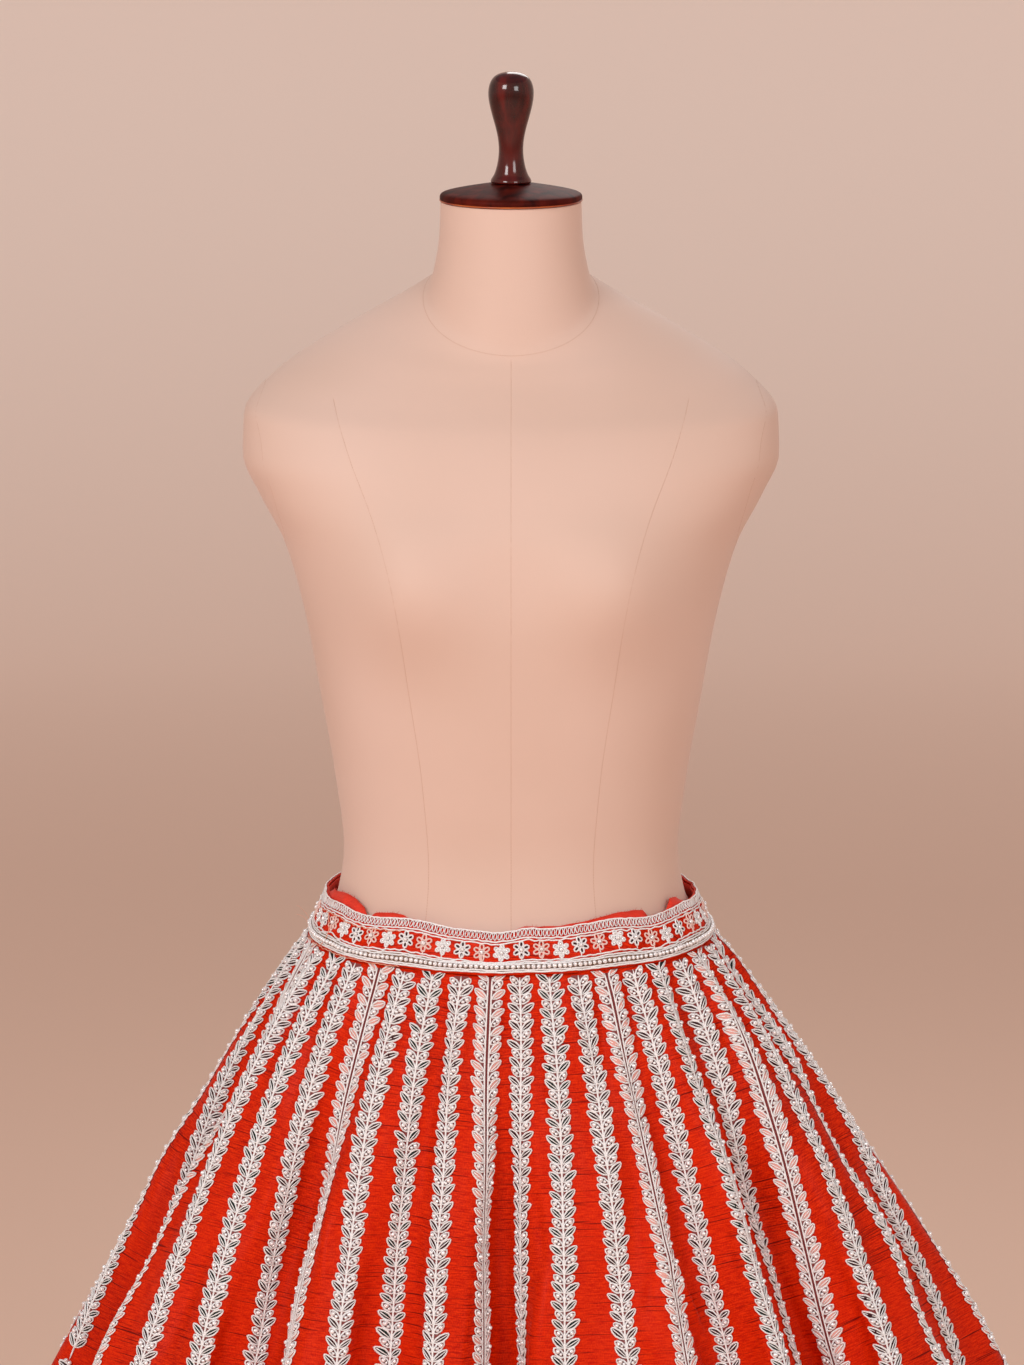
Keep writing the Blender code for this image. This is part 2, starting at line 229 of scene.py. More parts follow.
def round_ring(x, y, z, places):
    """Points at these places on a closed ring that starts at its front."""
    x, y, z = np.append(x, x[0]), np.append(y, y[0]), np.append(z, z[0])
    run = np.concatenate([[0], np.cumsum(np.sqrt(np.diff(x)**2 + np.diff(y)**2 + np.diff(z)**2))])
    want = (np.asarray(places, float) - SEAM_SHIFT) % STRIPES / STRIPES * run[-1]
    return np.stack([np.interp(want, run, v) for v in (x, y, z)], axis=-1)


def away_round(place, middle):
    """Pitches from middle to place, the short way round."""
    return (place - middle + STRIPES / 2) % STRIPES - STRIPES / 2


def fold_depth(fold, fall):
    _, _, at_stripe_ends, at_hem, rise = fold
    if fall < FOLD_FALL:
        return at_stripe_ends * (fall / FOLD_FALL) ** rise
    return at_stripe_ends + (at_hem - at_stripe_ends) * (fall - FOLD_FALL) / (1 - FOLD_FALL)


def skirt_row(fall, places):
    left, right, depth, squareness = (between_rows(SECTIONS, fall, c) for c in (1, 2, 3, 4))
    x, y, out_x, out_y = oval(left, right, depth, squareness, SAMPLES)
    round_place = np.arange(SAMPLES) / SAMPLES * STRIPES + SEAM_SHIFT
    dent = np.zeros(SAMPLES)
    for fold in FOLDS:
        away = away_round(round_place, fold[0])
        bowl = 0.5 * (1 + np.cos(pi * away / fold[1]))
        dent += np.where(np.abs(away) < fold[1], fold_depth(fold, fall) * bowl, 0)
    x, y = x - out_x * dent, y - out_y * dent
    waist = WAIST_LEVEL + tan(WAIST_TILT) * (1 - fall) * y
    hem = HEM_LEVEL + HEM_LIFT_AT_SIDES * x**2 / (left * right)
    return round_ring(x, y, waist * (1 - fall) + hem * fall, places)

# %% [markdown]
# The surface is worked out once as a fine grid, with its outward directions. Anything that lies on it
# is then placed by row, place and height, between the grid's points. A sheet is a dictionary, so the
# waistband can use the same functions.

# %% The surface as a grid
PLACES_PER_PITCH = 24
PLACES = np.linspace(-20, 20, STRIPES * PLACES_PER_PITCH + 1)
STRIPE_END_FALL = 0.338
FALLS = np.concatenate([np.linspace(0, 0.36, 145), np.linspace(0.36, 1, 97)[1:]])


def outward_of(points):
    """Unit directions out of a grid whose rows run down and whose columns run round to +X."""
    round_wise = np.empty_like(points)
    round_wise[:, 1:-1] = points[:, 2:] - points[:, :-2]
    round_wise[:, 0] = round_wise[:, -1] = points[:, 1] - points[:, -2]
    up = -np.gradient(points, axis=0)
    out = np.cross(round_wise, up)
    return out / np.linalg.norm(out, axis=-1, keepdims=True)


def make_sheet(rows, places, points):
    out = outward_of(points)
    pitch = np.linalg.norm(np.diff(points, axis=1), axis=-1).sum(axis=1) / STRIPES
    return {"rows": rows, "places": places, "points": points, "out": out, "pitch": pitch}


def on_sheet(sheet, row, place, height=0.0):
    """Points at these rows and places of a sheet, lifted off it by height."""
    row, place = np.broadcast_arrays(np.asarray(row, float), np.asarray(place, float))
    first, step = sheet["places"][0], sheet["places"][1] - sheet["places"][0]
    across = ((place - first) % STRIPES) / step
    down = np.interp(row, sheet["rows"], np.arange(len(sheet["rows"])))
    i = np.clip(down.astype(int), 0, len(sheet["rows"]) - 2)
    j = np.clip(across.astype(int), 0, len(sheet["places"]) - 2)
    u, v = (down - i)[..., None], (across - j)[..., None]
    found = []
    for grid in (sheet["points"], sheet["out"]):
        top = grid[i, j] * (1 - v) + grid[i, j + 1] * v
        low = grid[i + 1, j] * (1 - v) + grid[i + 1, j + 1] * v
        found.append(top * (1 - u) + low * u)
    return found[0] + found[1] * np.asarray(height, float)[..., None]


smooth_skirt = make_sheet(FALLS, PLACES, np.array([skirt_row(f, PLACES) for f in FALLS]))
print("cloth round the hem", round(smooth_skirt["pitch"][-1] * STRIPES, 2), "m")

# %% [markdown]
# ## Creases and puckers
# Silk hangs in the large folds of the sections, and in smaller ones made by gathering and handling. Each
# smaller crease is one row of a table: short gathers under the waistband, slanting drag lines beside the
# deep folds, and a few soft ones at the back. A crease or ridge is a raised cosine across its line, and
# fades at both ends. Between two stripes, which are stiff with cord, the silk sinks a little. Fine waves
# from a seeded draw keep the rest uneven.

# %% Creases listed one by one
# place, fall, length down, slant in pitches over the length, half width in pitches, height (- is a hollow)
CREASES = (
    (-6.55, 0.045, 0.10, -0.30, 0.30, -0.0018),
    (-5.45, 0.060, 0.12, 0.10, 0.26, -0.0016),
    (-3.50, 0.040, 0.09, 0.00, 0.28, -0.0017),
    (-2.50, 0.050, 0.13, 0.15, 0.30, -0.0019),
    (-0.50, 0.045, 0.10, -0.10, 0.28, -0.0015),
    (0.55, 0.040, 0.08, 0.10, 0.26, -0.0014),
    (1.55, 0.060, 0.14, 0.20, 0.30, -0.0020),
    (3.50, 0.050, 0.12, 0.10, 0.30, -0.0018),
    (4.50, 0.045, 0.10, 0.20, 0.28, -0.0016),
    (6.45, 0.060, 0.12, 0.20, 0.28, -0.0019),
    (7.55, 0.050, 0.10, 0.30, 0.28, -0.0016),
    (-3.30, 0.190, 0.10, 0.55, 0.28, -0.0026),
    (-4.70, 0.260, 0.13, -0.50, 0.30, 0.0026),
    (-4.60, 0.335, 0.09, 0.70, 0.24, -0.0024),
    (-2.45, 0.285, 0.16, -0.35, 0.32, -0.0030),
    (-2.30, 0.150, 0.11, 0.30, 0.26, 0.0018),
    (-6.50, 0.250, 0.15, -0.40, 0.34, -0.0030),
    (-6.35, 0.330, 0.10, 0.60, 0.26, 0.0022),
    (-5.40, 0.305, 0.13, 0.35, 0.30, -0.0026),
    (-1.45, 0.230, 0.14, 0.25, 0.30, -0.0022),
    (-0.55, 0.270, 0.15, -0.35, 0.34, 0.0024),
    (0.45, 0.320, 0.12, 0.45, 0.28, -0.0024),
    (1.60, 0.255, 0.15, -0.30, 0.32, 0.0026),
    (1.50, 0.180, 0.10, 0.40, 0.24, -0.0020),
    (3.35, 0.300, 0.14, 0.50, 0.30, -0.0030),
    (3.60, 0.220, 0.08, -0.70, 0.22, -0.0022),
    (4.35, 0.235, 0.10, 0.90, 0.22, 0.0028),
    (4.55, 0.275, 0.10, 1.00, 0.22, -0.0030),
    (4.40, 0.330, 0.11, 0.80, 0.26, -0.0026),
    (5.60, 0.190, 0.08, -0.40, 0.20, -0.0016),
    (6.50, 0.300, 0.14, -0.50, 0.34, -0.0030),
    (7.50, 0.240, 0.14, 0.40, 0.34, 0.0026),
    (8.45, 0.300, 0.16, -0.40, 0.36, -0.0028),
    (-8.55, 0.300, 0.16, 0.35, 0.36, -0.0028),
    (-9.60, 0.200, 0.16, 0.30, 0.36, 0.0024),
    (10.40, 0.220, 0.16, -0.30, 0.36, 0.0024),
    (12.50, 0.280, 0.18, 0.40, 0.40, -0.0028),
    (14.50, 0.200, 0.14, -0.50, 0.34, 0.0022),
    (16.50, 0.300, 0.18, 0.30, 0.40, -0.0030),
    (18.50, 0.240, 0.16, 0.20, 0.38, 0.0024),
    (-12.50, 0.260, 0.16, 0.40, 0.38, -0.0028),
    (-14.60, 0.220, 0.16, -0.35, 0.38, 0.0026),
    (-16.40, 0.290, 0.18, 0.40, 0.40, -0.0030),
    (-18.50, 0.230, 0.15, -0.30, 0.36, 0.0022),
    (-4.60, 0.480, 0.22, 0.50, 0.40, -0.0040),
    (1.30, 0.500, 0.24, -0.50, 0.42, 0.0045),
    (3.60, 0.450, 0.20, 0.60, 0.38, -0.0040),
    (7.40, 0.520, 0.24, 0.40, 0.44, -0.0045),
    (-8.40, 0.540, 0.26, 0.50, 0.44, 0.0045),
    (12.60, 0.560, 0.26, -0.50, 0.46, -0.0045),
    (-13.40, 0.520, 0.26, 0.40, 0.46, 0.0045),
    (17.40, 0.600, 0.28, 0.30, 0.46, -0.0045),
)
CREASE_SHARE = 1.5
WAVES = 34
WAVE_HEIGHT = 0.0011
HOLLOW_DEPTH = 0.0012
HOLLOW_DEEPER = 0.0080
HOLLOW_LEAST = 0.15
HOLLOW_END_FALL = 0.70
HOLLOW_FADE = 0.36
GATHER_HEIGHT = 0.0011
GATHER_FADE = 0.030


def crease_height(fall, place):
    """How far the creases lift the cloth at these falls and places."""
    lift = np.zeros(np.broadcast(fall, place).shape)
    for at, level, length, slant, half, height in CREASES:
        along = (fall - level) / length
        line = at + slant * along
        away = away_round(place, line) / half
        inside = (np.abs(away) < 1) & (np.abs(along) < 0.5)
        lift += np.where(inside, height * 0.25 * (1 + np.cos(pi * away)) * (1 + np.cos(2 * pi * along)), 0)
    return lift * CREASE_SHARE


def fine_waves(fall, place, seed, height):
    """Small uneven ripples that repeat once round the skirt."""
    draw = np.random.default_rng(seed)
    lift = np.zeros(np.broadcast(fall, place).shape)
    for _ in range(WAVES):
        round_count = draw.integers(8, 46)
        down_count = draw.uniform(-9, 9)
        phase = draw.uniform(0, 2 * pi)
        lift += np.sin(2 * pi * (round_count * place / STRIPES + down_count * fall) + phase)
    return lift * height / np.sqrt(WAVES / 2)


def gathers(fall, place):
    """Tiny pleats where the cloth is eased into the waistband, fading out below it."""
    turn = 2 * pi * place
    lift = np.sin(turn * 1.7 + 2 * np.sin(turn / 5)) + 0.6 * np.sin(turn * 2.6 + 1.3 * np.sin(turn / 4))
    return GATHER_HEIGHT / 2 * lift * np.exp(-fall / GATHER_FADE)


def hollows(fall, place):
    """The silk sinks between the stiff stripes, by its own amount in each gap, and less below their ends."""
    gap = np.floor(place)
    across = 0.5 - 0.5 * np.cos(2 * pi * place)
    amount = 0.8 + 0.5 * np.sin(2.3 * gap + 9 * fall) + 0.4 * np.sin(4.1 * gap - 21 * fall)
    fade = np.clip((HOLLOW_END_FALL - fall) / HOLLOW_FADE, HOLLOW_LEAST, 1)
    return -(HOLLOW_DEPTH + HOLLOW_DEEPER * fall) * across * amount * fade


def ruffled(sheet, lift):
    """The same sheet with its points moved out by lift."""
    return make_sheet(sheet["rows"], sheet["places"], sheet["points"] + sheet["out"] * lift[..., None])


fall_grid, place_grid = FALLS[:, None], PLACES[None, :]
lift = crease_height(fall_grid, place_grid) + gathers(fall_grid, place_grid)
lift += fine_waves(fall_grid, place_grid, 11, WAVE_HEIGHT) + hollows(fall_grid, place_grid)
# the waistband holds the cloth flat at its top
lift *= np.clip(fall_grid / 0.02, 0.15, 1)
skirt = ruffled(smooth_skirt, lift)
lowest, highest = lift.min() * 1000, lift.max() * 1000
print(len(CREASES), "creases lift the cloth by", round(lowest, 1), "to", round(highest, 1), "mm")

# %% [markdown]
# ## Shared effects for the materials
# Three effects are used by more than one material. Twisted strands make a cord out of a plain tube, from
# UVs that count its twists. Slubs are the thick and thin threads of raw silk, from UVs in metres. Soft
# blotches make large even surfaces less perfect. Each is a node group with named inputs.

# %% Node groups
def new_group(name, inputs, outputs):
    group = bpy.data.node_groups.new(name, "ShaderNodeTree")
    for kind, names in (("INPUT", inputs), ("OUTPUT", outputs)):
        for socket, socket_type in names:
            group.interface.new_socket(name=socket, in_out=kind, socket_type="NodeSocket" + socket_type)
    return group, group.nodes.new("NodeGroupInput"), group.nodes.new("NodeGroupOutput")


def feed(tree, socket, value):
    """Link a value that is another node's output, and set one that is a constant."""
    if isinstance(value, bpy.types.NodeSocket):
        tree.links.new(value, socket)
    else:
        socket.default_value = value


def add_node(tree, kind, **settings):
    """A shader node, with its settings, and the inputs that are named with in_."""
    node = tree.nodes.new("ShaderNode" + kind)
    for name, value in settings.items():
        if name.startswith("in_"):
            key = name[3:]
            feed(tree, node.inputs[int(key) if key.isdigit() else key.replace("_", " ")], value)
        else:
            setattr(node, name, value)
    return node


def math_node(tree, operation, a, b=0.0, c=0.0):
    node = add_node(tree, "Math", operation=operation, in_0=a, in_1=b, in_2=c)
    return node.outputs[0]


def make_twist_group():
    """UV.x counts twists along a cord and UV.y goes once round it: strand is 1 on a strand, 0 between."""
    group, source, result = new_group("twisted_strands", (("UV", "Vector"),), (("Strand", "Float"),))
    split = add_node(group, "SeparateXYZ", in_Vector=source.outputs["UV"])
    turn = math_node(group, "ADD", split.outputs["X"], split.outputs["Y"])
    wave = math_node(group, "SINE", math_node(group, "MULTIPLY", turn, pi))
    strand = math_node(group, "ABSOLUTE", wave)
    group.links.new(strand, result.inputs["Strand"])
    return group


def stretched_noise(tree, vector, scale, detail):
    """Noise with its own number of waves a metre each way."""
    stretched = add_node(tree, "Mapping", in_Vector=vector, in_Scale=scale)
    return add_node(tree, "TexNoise", in_Vector=stretched.outputs[0], in_Scale=1.0, in_Detail=detail)


def make_slub_group():
    """Slubs, weft grain and their height for raw silk, from UVs in metres with X along the weft."""
    group, source, result = new_group(
        "silk_slubs",
        (("UV", "Vector"),),
        (("Slub", "Float"), ("Grain", "Float"), ("Height", "Float")),
    )
    slubs = stretched_noise(group, source.outputs["UV"], (19, 880, 1), 1.0)
    slub = add_node(group, "MapRange", in_0=slubs.outputs[0], in_1=0.63, in_2=0.71)
    grain = stretched_noise(group, source.outputs["UV"], (130, 1050, 1), 2.0)
    cross = stretched_noise(group, source.outputs["UV"], (1100, 620, 1), 0.0)
    both = math_node(group, "MULTIPLY_ADD", cross.outputs[0], 0.35, grain.outputs[0])
    height = math_node(group, "MULTIPLY_ADD", slub.outputs[0], 0.8, both)
    group.links.new(slub.outputs[0], result.inputs["Slub"])
    group.links.new(both, result.inputs["Grain"])
    group.links.new(height, result.inputs["Height"])
    return group


def make_blotch_group():
    """A slow, soft variation from 0 to 1 over a surface, at Scale blotches a metre."""
    group, source, result = new_group(
        "soft_blotches", (("Vector", "Vector"), ("Scale", "Float")), (("Blotch", "Float"),))
    where, scale = source.outputs["Vector"], source.outputs["Scale"]
    noise = add_node(group, "TexNoise", in_Vector=where, in_Scale=scale, in_Detail=1.0)
    spread = add_node(group, "MapRange", in_0=noise.outputs[0], in_1=0.3, in_2=0.7)
    group.links.new(spread.outputs[0], result.inputs["Blotch"])
    return group


twist_group, slub_group, blotch_group = make_twist_group(), make_slub_group(), make_blotch_group()
print("groups:", [g.name for g in (twist_group, slub_group, blotch_group)])

# %% [markdown]
# ## Materials
# Each finish is a short function. Raw silk is nearly matt, and its slubs run across the panel as thin dark
# lines. Silver zari is wound so tightly that it looks white, with grey painted shade between its strands.
# Satin stitch is the same twist laid flat, with the same painted shade between stitches, and less shiny.
# Beads are partly metallic. Plain finishes are mottled between two close colours.

# %% Material functions
def linear(value):
    return value / 255 / 12.92 if value < 10 else ((value / 255 + 0.055) / 1.055) ** 2.4


def srgb(red, green, blue):
    """A colour from 0-255 values, as the linear colour that shaders use."""
    return linear(red), linear(green), linear(blue), 1


def new_material(name, **values):
    material = bpy.data.materials.new(name)
    material.use_nodes = True
    tree = material.node_tree
    shader = tree.nodes["Principled BSDF"]
    for key, value in values.items():
        shader.inputs[key.replace("_", " ")].default_value = value
    return material, tree, shader


def place_group(tree, group, **inputs):
    node = tree.nodes.new("ShaderNodeGroup")
    node.node_tree = group
    for name, value in inputs.items():
        feed(tree, node.inputs[name], value)
    return node


def mix_colours(tree, share, first, second, shader, socket="Base Color"):
    mix = add_node(tree, "Mix", data_type="RGBA")
    tree.links.new(share, mix.inputs["Factor"])
    for slot, value in (("A", first), ("B", second)):
        feed(tree, [s for s in mix.inputs if s.name == slot and s.type == "RGBA"][0], value)
    result = [s for s in mix.outputs if s.type == "RGBA"][0]
    if shader:
        tree.links.new(result, shader.inputs[socket])
    return result


def add_bump(tree, height, shader, distance, strength):
    bump = add_node(tree, "Bump", in_Height=height, in_Distance=distance, in_Strength=strength)
    tree.links.new(bump.outputs[0], shader.inputs["Normal"])


def mottled_material(name, scale, dark, light, **values):
    """A finish with soft blotches between two close colours, at scale blotches a metre."""
    material, tree, shader = new_material(name, **values)
    where = add_node(tree, "TexCoord")
    blotch = place_group(tree, blotch_group, Vector=where.outputs["Object"], Scale=scale)
    mix_colours(tree, blotch.outputs[0], dark, light, shader)
    return material, tree, shader, where.outputs["Object"]


def silk_material():
    material, tree, shader = new_material("red_raw_silk", Specular_IOR_Level=0.08)
    where = add_node(tree, "TexCoord")
    slubs = place_group(tree, slub_group, UV=where.outputs["UV"])
    blotch = place_group(tree, blotch_group, Vector=where.outputs["Object"], Scale=9.0)
    base = mix_colours(tree, blotch.outputs[0], srgb(164, 13, 0), srgb(200, 26, 0), None)
    grain = add_node(tree, "MapRange", in_0=slubs.outputs["Grain"], in_1=0.47, in_2=0.89)
    grained = mix_colours(tree, grain.outputs[0], base, srgb(230, 51, 6), None)
    mix_colours(tree, slubs.outputs["Slub"], grained, srgb(112, 10, 5), shader)
    rough = add_node(tree, "MapRange", in_0=slubs.outputs["Grain"], in_1=0.4, in_2=1.0, in_3=0.54, in_4=0.40)
    tree.links.new(rough.outputs[0], shader.inputs["Roughness"])
    add_bump(tree, slubs.outputs["Height"], shader, 0.00014, 0.6)
    return material


def cord_material(name, dark, light, roughness, specular=0.9, groove=0.00016, strength=0.8):
    """A twisted cord of metal or cotton thread, with painted shade between its strands."""
    material, tree, shader = new_material(name, Roughness=roughness, Specular_IOR_Level=specular)
    where = add_node(tree, "TexCoord")
    twist = place_group(tree, twist_group, UV=where.outputs["UV"])
    mix_colours(tree, twist.outputs[0], dark, light, shader)
    add_bump(tree, twist.outputs[0], shader, groove, strength)
    return material


def satin_material(name, dark, light):
    """Flat stitches side by side, with painted shade between them: UV.x counts the stitches."""
    return cord_material(name, dark, light, 0.5, specular=0.2, groove=0.0001, strength=0.6)


silk = silk_material()
silver = cord_material("silver_cord", srgb(234, 234, 238), srgb(255, 255, 255), 0.30)
# dark red thread for the seam lines and the hem, also used as painted shade under the stripes' motifs
dark_red = cord_material("red_thread_and_gap_shade", srgb(92, 8, 8), srgb(150, 18, 14), 0.6)
peach = cord_material("peach_tacking_thread", srgb(236, 140, 108), srgb(255, 186, 156), 0.6)
green_satin = satin_material("dark_green_satin", srgb(4, 18, 15), srgb(12, 34, 28))
maroon_satin = satin_material("maroon_satin", srgb(36, 4, 10), srgb(62, 12, 20))
pink_satin = satin_material("pink_satin", srgb(216, 140, 132), srgb(240, 184, 174))
beads = mottled_material(
    "silver_beads", 420.0, srgb(240, 240, 244), srgb(255, 255, 255), Metallic=0.28, Roughness=0.12)[0]
print("materials:", len(bpy.data.materials))

# %% [markdown]
# ## The ten kalis
# Each kali is a flared panel, 80 mm wide at the waist and 380 mm at the hem. Here it is a thin shell draped
# on the surface: a grid of points taken from it, and then the Solidify modifier. The grid has more
# rows where the stripes are. Its UVs are the flat panel in metres, with X along the weft, which
# crosses the panel's middle line squarely, so that slubs run level on the panel as on the real cloth.

# %% Draped panels
KALI_COLUMNS = 44
SILK_THICKNESS = 0.0008
KALI_FALLS = np.concatenate([np.linspace(0.0, 0.36, 73), np.linspace(0.36, 1, 22)[1:]])


def flat_pattern(points):
    """UVs in metres for a draped grid: X across the panel, Y down its middle line."""
    rows, columns = points.shape[:2]
    middle = columns // 2
    down = np.gradient(points[:, middle], axis=0)
    down /= np.linalg.norm(down, axis=-1, keepdims=True)
    steps = np.diff(points, axis=1)
    sink = np.einsum("ijk,ik->ij", steps, down)
    width = np.sqrt(np.maximum((steps**2).sum(-1) - sink**2, 1e-12))
    across = np.concatenate([np.zeros((rows, 1)), np.cumsum(width, axis=1)], axis=1)
    lower = np.concatenate([np.zeros((rows, 1)), np.cumsum(sink, axis=1)], axis=1)
    across -= across[:, middle:middle + 1]
    lower -= lower[:, middle:middle + 1]
    run = np.linalg.norm(np.diff(points[:, middle], axis=0), axis=-1)
    return np.stack([across, lower + np.concatenate([[0], np.cumsum(run)])[:, None]], axis=-1)


def apply_solidify(piece, thickness):
    solid = piece.modifiers.new("thickness", "SOLIDIFY")
    solid.thickness = thickness
    solid.offset = -1
    pick(piece)
    bpy.ops.object.modifier_apply(modifier=solid.name)


def draped_panel(name, sheet, rows, places, material, thickness, height=0.0, sideways=(0.0, 0.0)):
    """A panel of cloth between the given places, laid on a sheet."""
    points = on_sheet(sheet, rows, places, height)
    flat = flat_pattern(points) + np.array(sideways)
    faces = grid_faces(points.shape[0], points.shape[1])
    maps = flat.reshape(-1, 2)[faces]
    piece = mesh_object(name, points.reshape(-1, 3), faces, [material], maps=maps)
    apply_solidify(piece, thickness)
    return piece


KALI_LENGTH = 1.01
# each kali's UVs lie this far from the last one's, so that no two have the same slubs
SLUB_STEP = 0.7
edges = np.linspace(0, 1, KALI_COLUMNS + 1)
gap = SEAM_GAP / 2 / np.interp(KALI_FALLS, FALLS, skirt["pitch"])[:, None]
for number in range(1, KALIS + 1):
    first = (number - 1) * STRIPES_PER_KALI
    places = first + gap + edges[None, :] * (STRIPES_PER_KALI - 2 * gap)
    cloth = draped_panel(
        f"kali_cloth_{number:02d}", skirt, KALI_FALLS[:, None], places, silk, SILK_THICKNESS,
        sideways=(SLUB_STEP * number, 0.0))
    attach(cloth, "root")
    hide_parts(f"kali_{number:02d}")
print("a kali has", len(cloth.data.polygons), "faces")

# %% [markdown]
# ## Motifs of the stripes
# A stripe is a stem of silver cord with pairs of leaves and pairs of small beaded loops by turns. A leaf is
# a ring of cord around satin stitches, with one bright thread down its middle. A maker would couch the
# cord down and fill it. Here each motif is modelled once, lying flat with its root at the origin and its
# tip towards +Y, from few faces, because it is copied hundreds of times.

# %% Model a leaf, a loop and a bead
LEAF_LENGTH = 0.0108
LEAF_WIDTH = 0.0044
LOOP_LENGTH = 0.0088
LOOP_WIDTH = 0.0042
OUTLINE_RADIUS = 0.00070
BEAD_RADIUS = 0.00172
CORD_TWIST = 0.0011
STITCH_PITCH = 0.00045
MIDDLE_THREAD_RADIUS = 0.00050


def ring_of_cord(length, width, points_round, sides, pinch, radius=OUTLINE_RADIUS):
    """A ring of cord, drawn out to a point at its root and tip."""
    bpy.ops.mesh.primitive_torus_add(
        major_segments=points_round, minor_segments=sides, major_radius=width / 2, minor_radius=radius)
    ring = bpy.context.object
    for point in ring.data.vertices:
        x, y, z = point.co
        turn = np.arctan2(y, x)
        along = sin(turn)
        reach = np.hypot(x, y) - width / 2
        body = cos(turn) * width / 2 * (1 - pinch * along**2)
        point.co = (body + reach * cos(turn), length / 2 * (1 + along) + reach * along, z + radius)
    perimeter = 2 * length + width
    return take_shape(ring, twists=round(perimeter / CORD_TWIST))


def fill_of_satin(length, width, points_round, pinch):
    """A low cushion of stitches inside a ring."""
    bpy.ops.mesh.primitive_circle_add(vertices=points_round, radius=width / 2, fill_type="TRIFAN")
    fill = bpy.context.object
    layer = fill.data.uv_layers[0]
    for point in fill.data.vertices:
        x, y, _ = point.co
        along = y / (width / 2)
        dome = 1 - min(1.0, np.hypot(x, y) / (width / 2))
        point.co = (x * (1 - pinch * along**2), length / 2 * (1 + along), OUTLINE_RADIUS * (0.5 + 0.9 * dome))
    for loop in fill.data.loops:
        at = fill.data.vertices[loop.vertex_index].co
        layer.data[loop.index].uv = (at.y / STITCH_PITCH, 0.0)
    return take_shape(fill)


def straight_thread(length, radius, height):
    """A short straight thread, a little flattened."""
    bpy.ops.mesh.primitive_cylinder_add(vertices=4, radius=radius, depth=length)
    thread = bpy.context.object
    for point in thread.data.vertices:
        x, y, z = point.co
        point.co = (x * 0.7, z + length / 2, y + height)
    points, faces, maps = take_shape(thread)
    # half a twist everywhere, which is the middle of a strand, in the light colour without the painted shade
    return points, faces, np.zeros_like(maps) + (0.5, 0.0)


def round_bead(radius, height, segments=6, rings=4):
    bpy.ops.mesh.primitive_uv_sphere_add(segments=segments, ring_count=rings, radius=radius)
    bead = bpy.context.object
    for point in bead.data.vertices:
        point.co.z += height
    return take_shape(bead)


def moved(shape, y):
    """A shape moved towards its tip."""
    points, faces, maps = shape
    return points + np.array([0.0, y, 0.0]), faces, maps


def joined(shapes):
    """Several shapes as one."""
    points, faces, maps, start = [], [], [], 0
    for shape in shapes:
        points.append(shape[0])
        faces.append(shape[1] + start)
        maps.append(shape[2])
        start += len(shape[0])
    return np.concatenate(points), np.concatenate(faces), np.concatenate(maps)


leaf_ring = ring_of_cord(LEAF_LENGTH, LEAF_WIDTH, 10, 4, 0.3)
leaf_fill = fill_of_satin(LEAF_LENGTH * 0.92, LEAF_WIDTH * 0.92, 10, 0.3)
leaf_thread = straight_thread(LEAF_LENGTH * 0.78, MIDDLE_THREAD_RADIUS, OUTLINE_RADIUS * 2.1)
leaf_thread = moved(leaf_thread, LEAF_LENGTH * 0.11)
silver_leaf = joined([leaf_ring, leaf_thread])
loop_ring = ring_of_cord(LOOP_LENGTH, LOOP_WIDTH, 8, 4, 0.1)
bead = round_bead(BEAD_RADIUS, BEAD_RADIUS * 0.9)
small_bead = round_bead(BEAD_RADIUS * 0.78, BEAD_RADIUS * 0.7, 5, 3)
loop_beads = joined([moved(bead, LOOP_LENGTH * 0.66), moved(small_bead, LOOP_LENGTH * 0.34)])
for label, shapes in (("leaf", (silver_leaf, leaf_fill)), ("loop", (loop_ring, loop_beads))):
    print("triangles of a", label, sum(len(faces) for _, faces, _ in shapes))

# %% [markdown]
# ## Laying motifs on the cloth
# A motif is laid by its place, its distance down the stripe, its turn and its size. Nearby, the
# surface is almost flat, so its two directions at the motif's root turn millimetres across and
# along the stripe into places and falls, also where the rows cross the stripe at a slant.

# %% Lay copies on the surface
def stripe_length(sheet, place):
    """Distance down the sheet at each of its rows, along one place."""
    line = on_sheet(sheet, sheet["rows"], place)
    return np.concatenate([[0], np.cumsum(np.linalg.norm(np.diff(line, axis=0), axis=-1))])


def local_map(sheet, row, place):
    """How far one place goes across and along the stripe, and one row down it, in metres."""
    step, drop = 0.02, (sheet["rows"][-1] - sheet["rows"][0]) * 0.002
    here = on_sheet(sheet, row, place)
    side = (on_sheet(sheet, row, place + step) - on_sheet(sheet, row, place - step)) / (2 * step)
    low = on_sheet(sheet, np.minimum(row + drop, sheet["rows"][-1]), place)
    high = on_sheet(sheet, np.maximum(row - drop, sheet["rows"][0]), place)
    span = np.minimum(row + drop, sheet["rows"][-1]) - np.maximum(row - drop, sheet["rows"][0])
    down = (low - high) / np.asarray(span)[..., None]
    reach = np.linalg.norm(down, axis=-1)
    sink = (side * down).sum(-1) / reach
    across = np.sqrt(np.maximum((side**2).sum(-1) - sink**2, 1e-12))
    return here, across, sink, reach


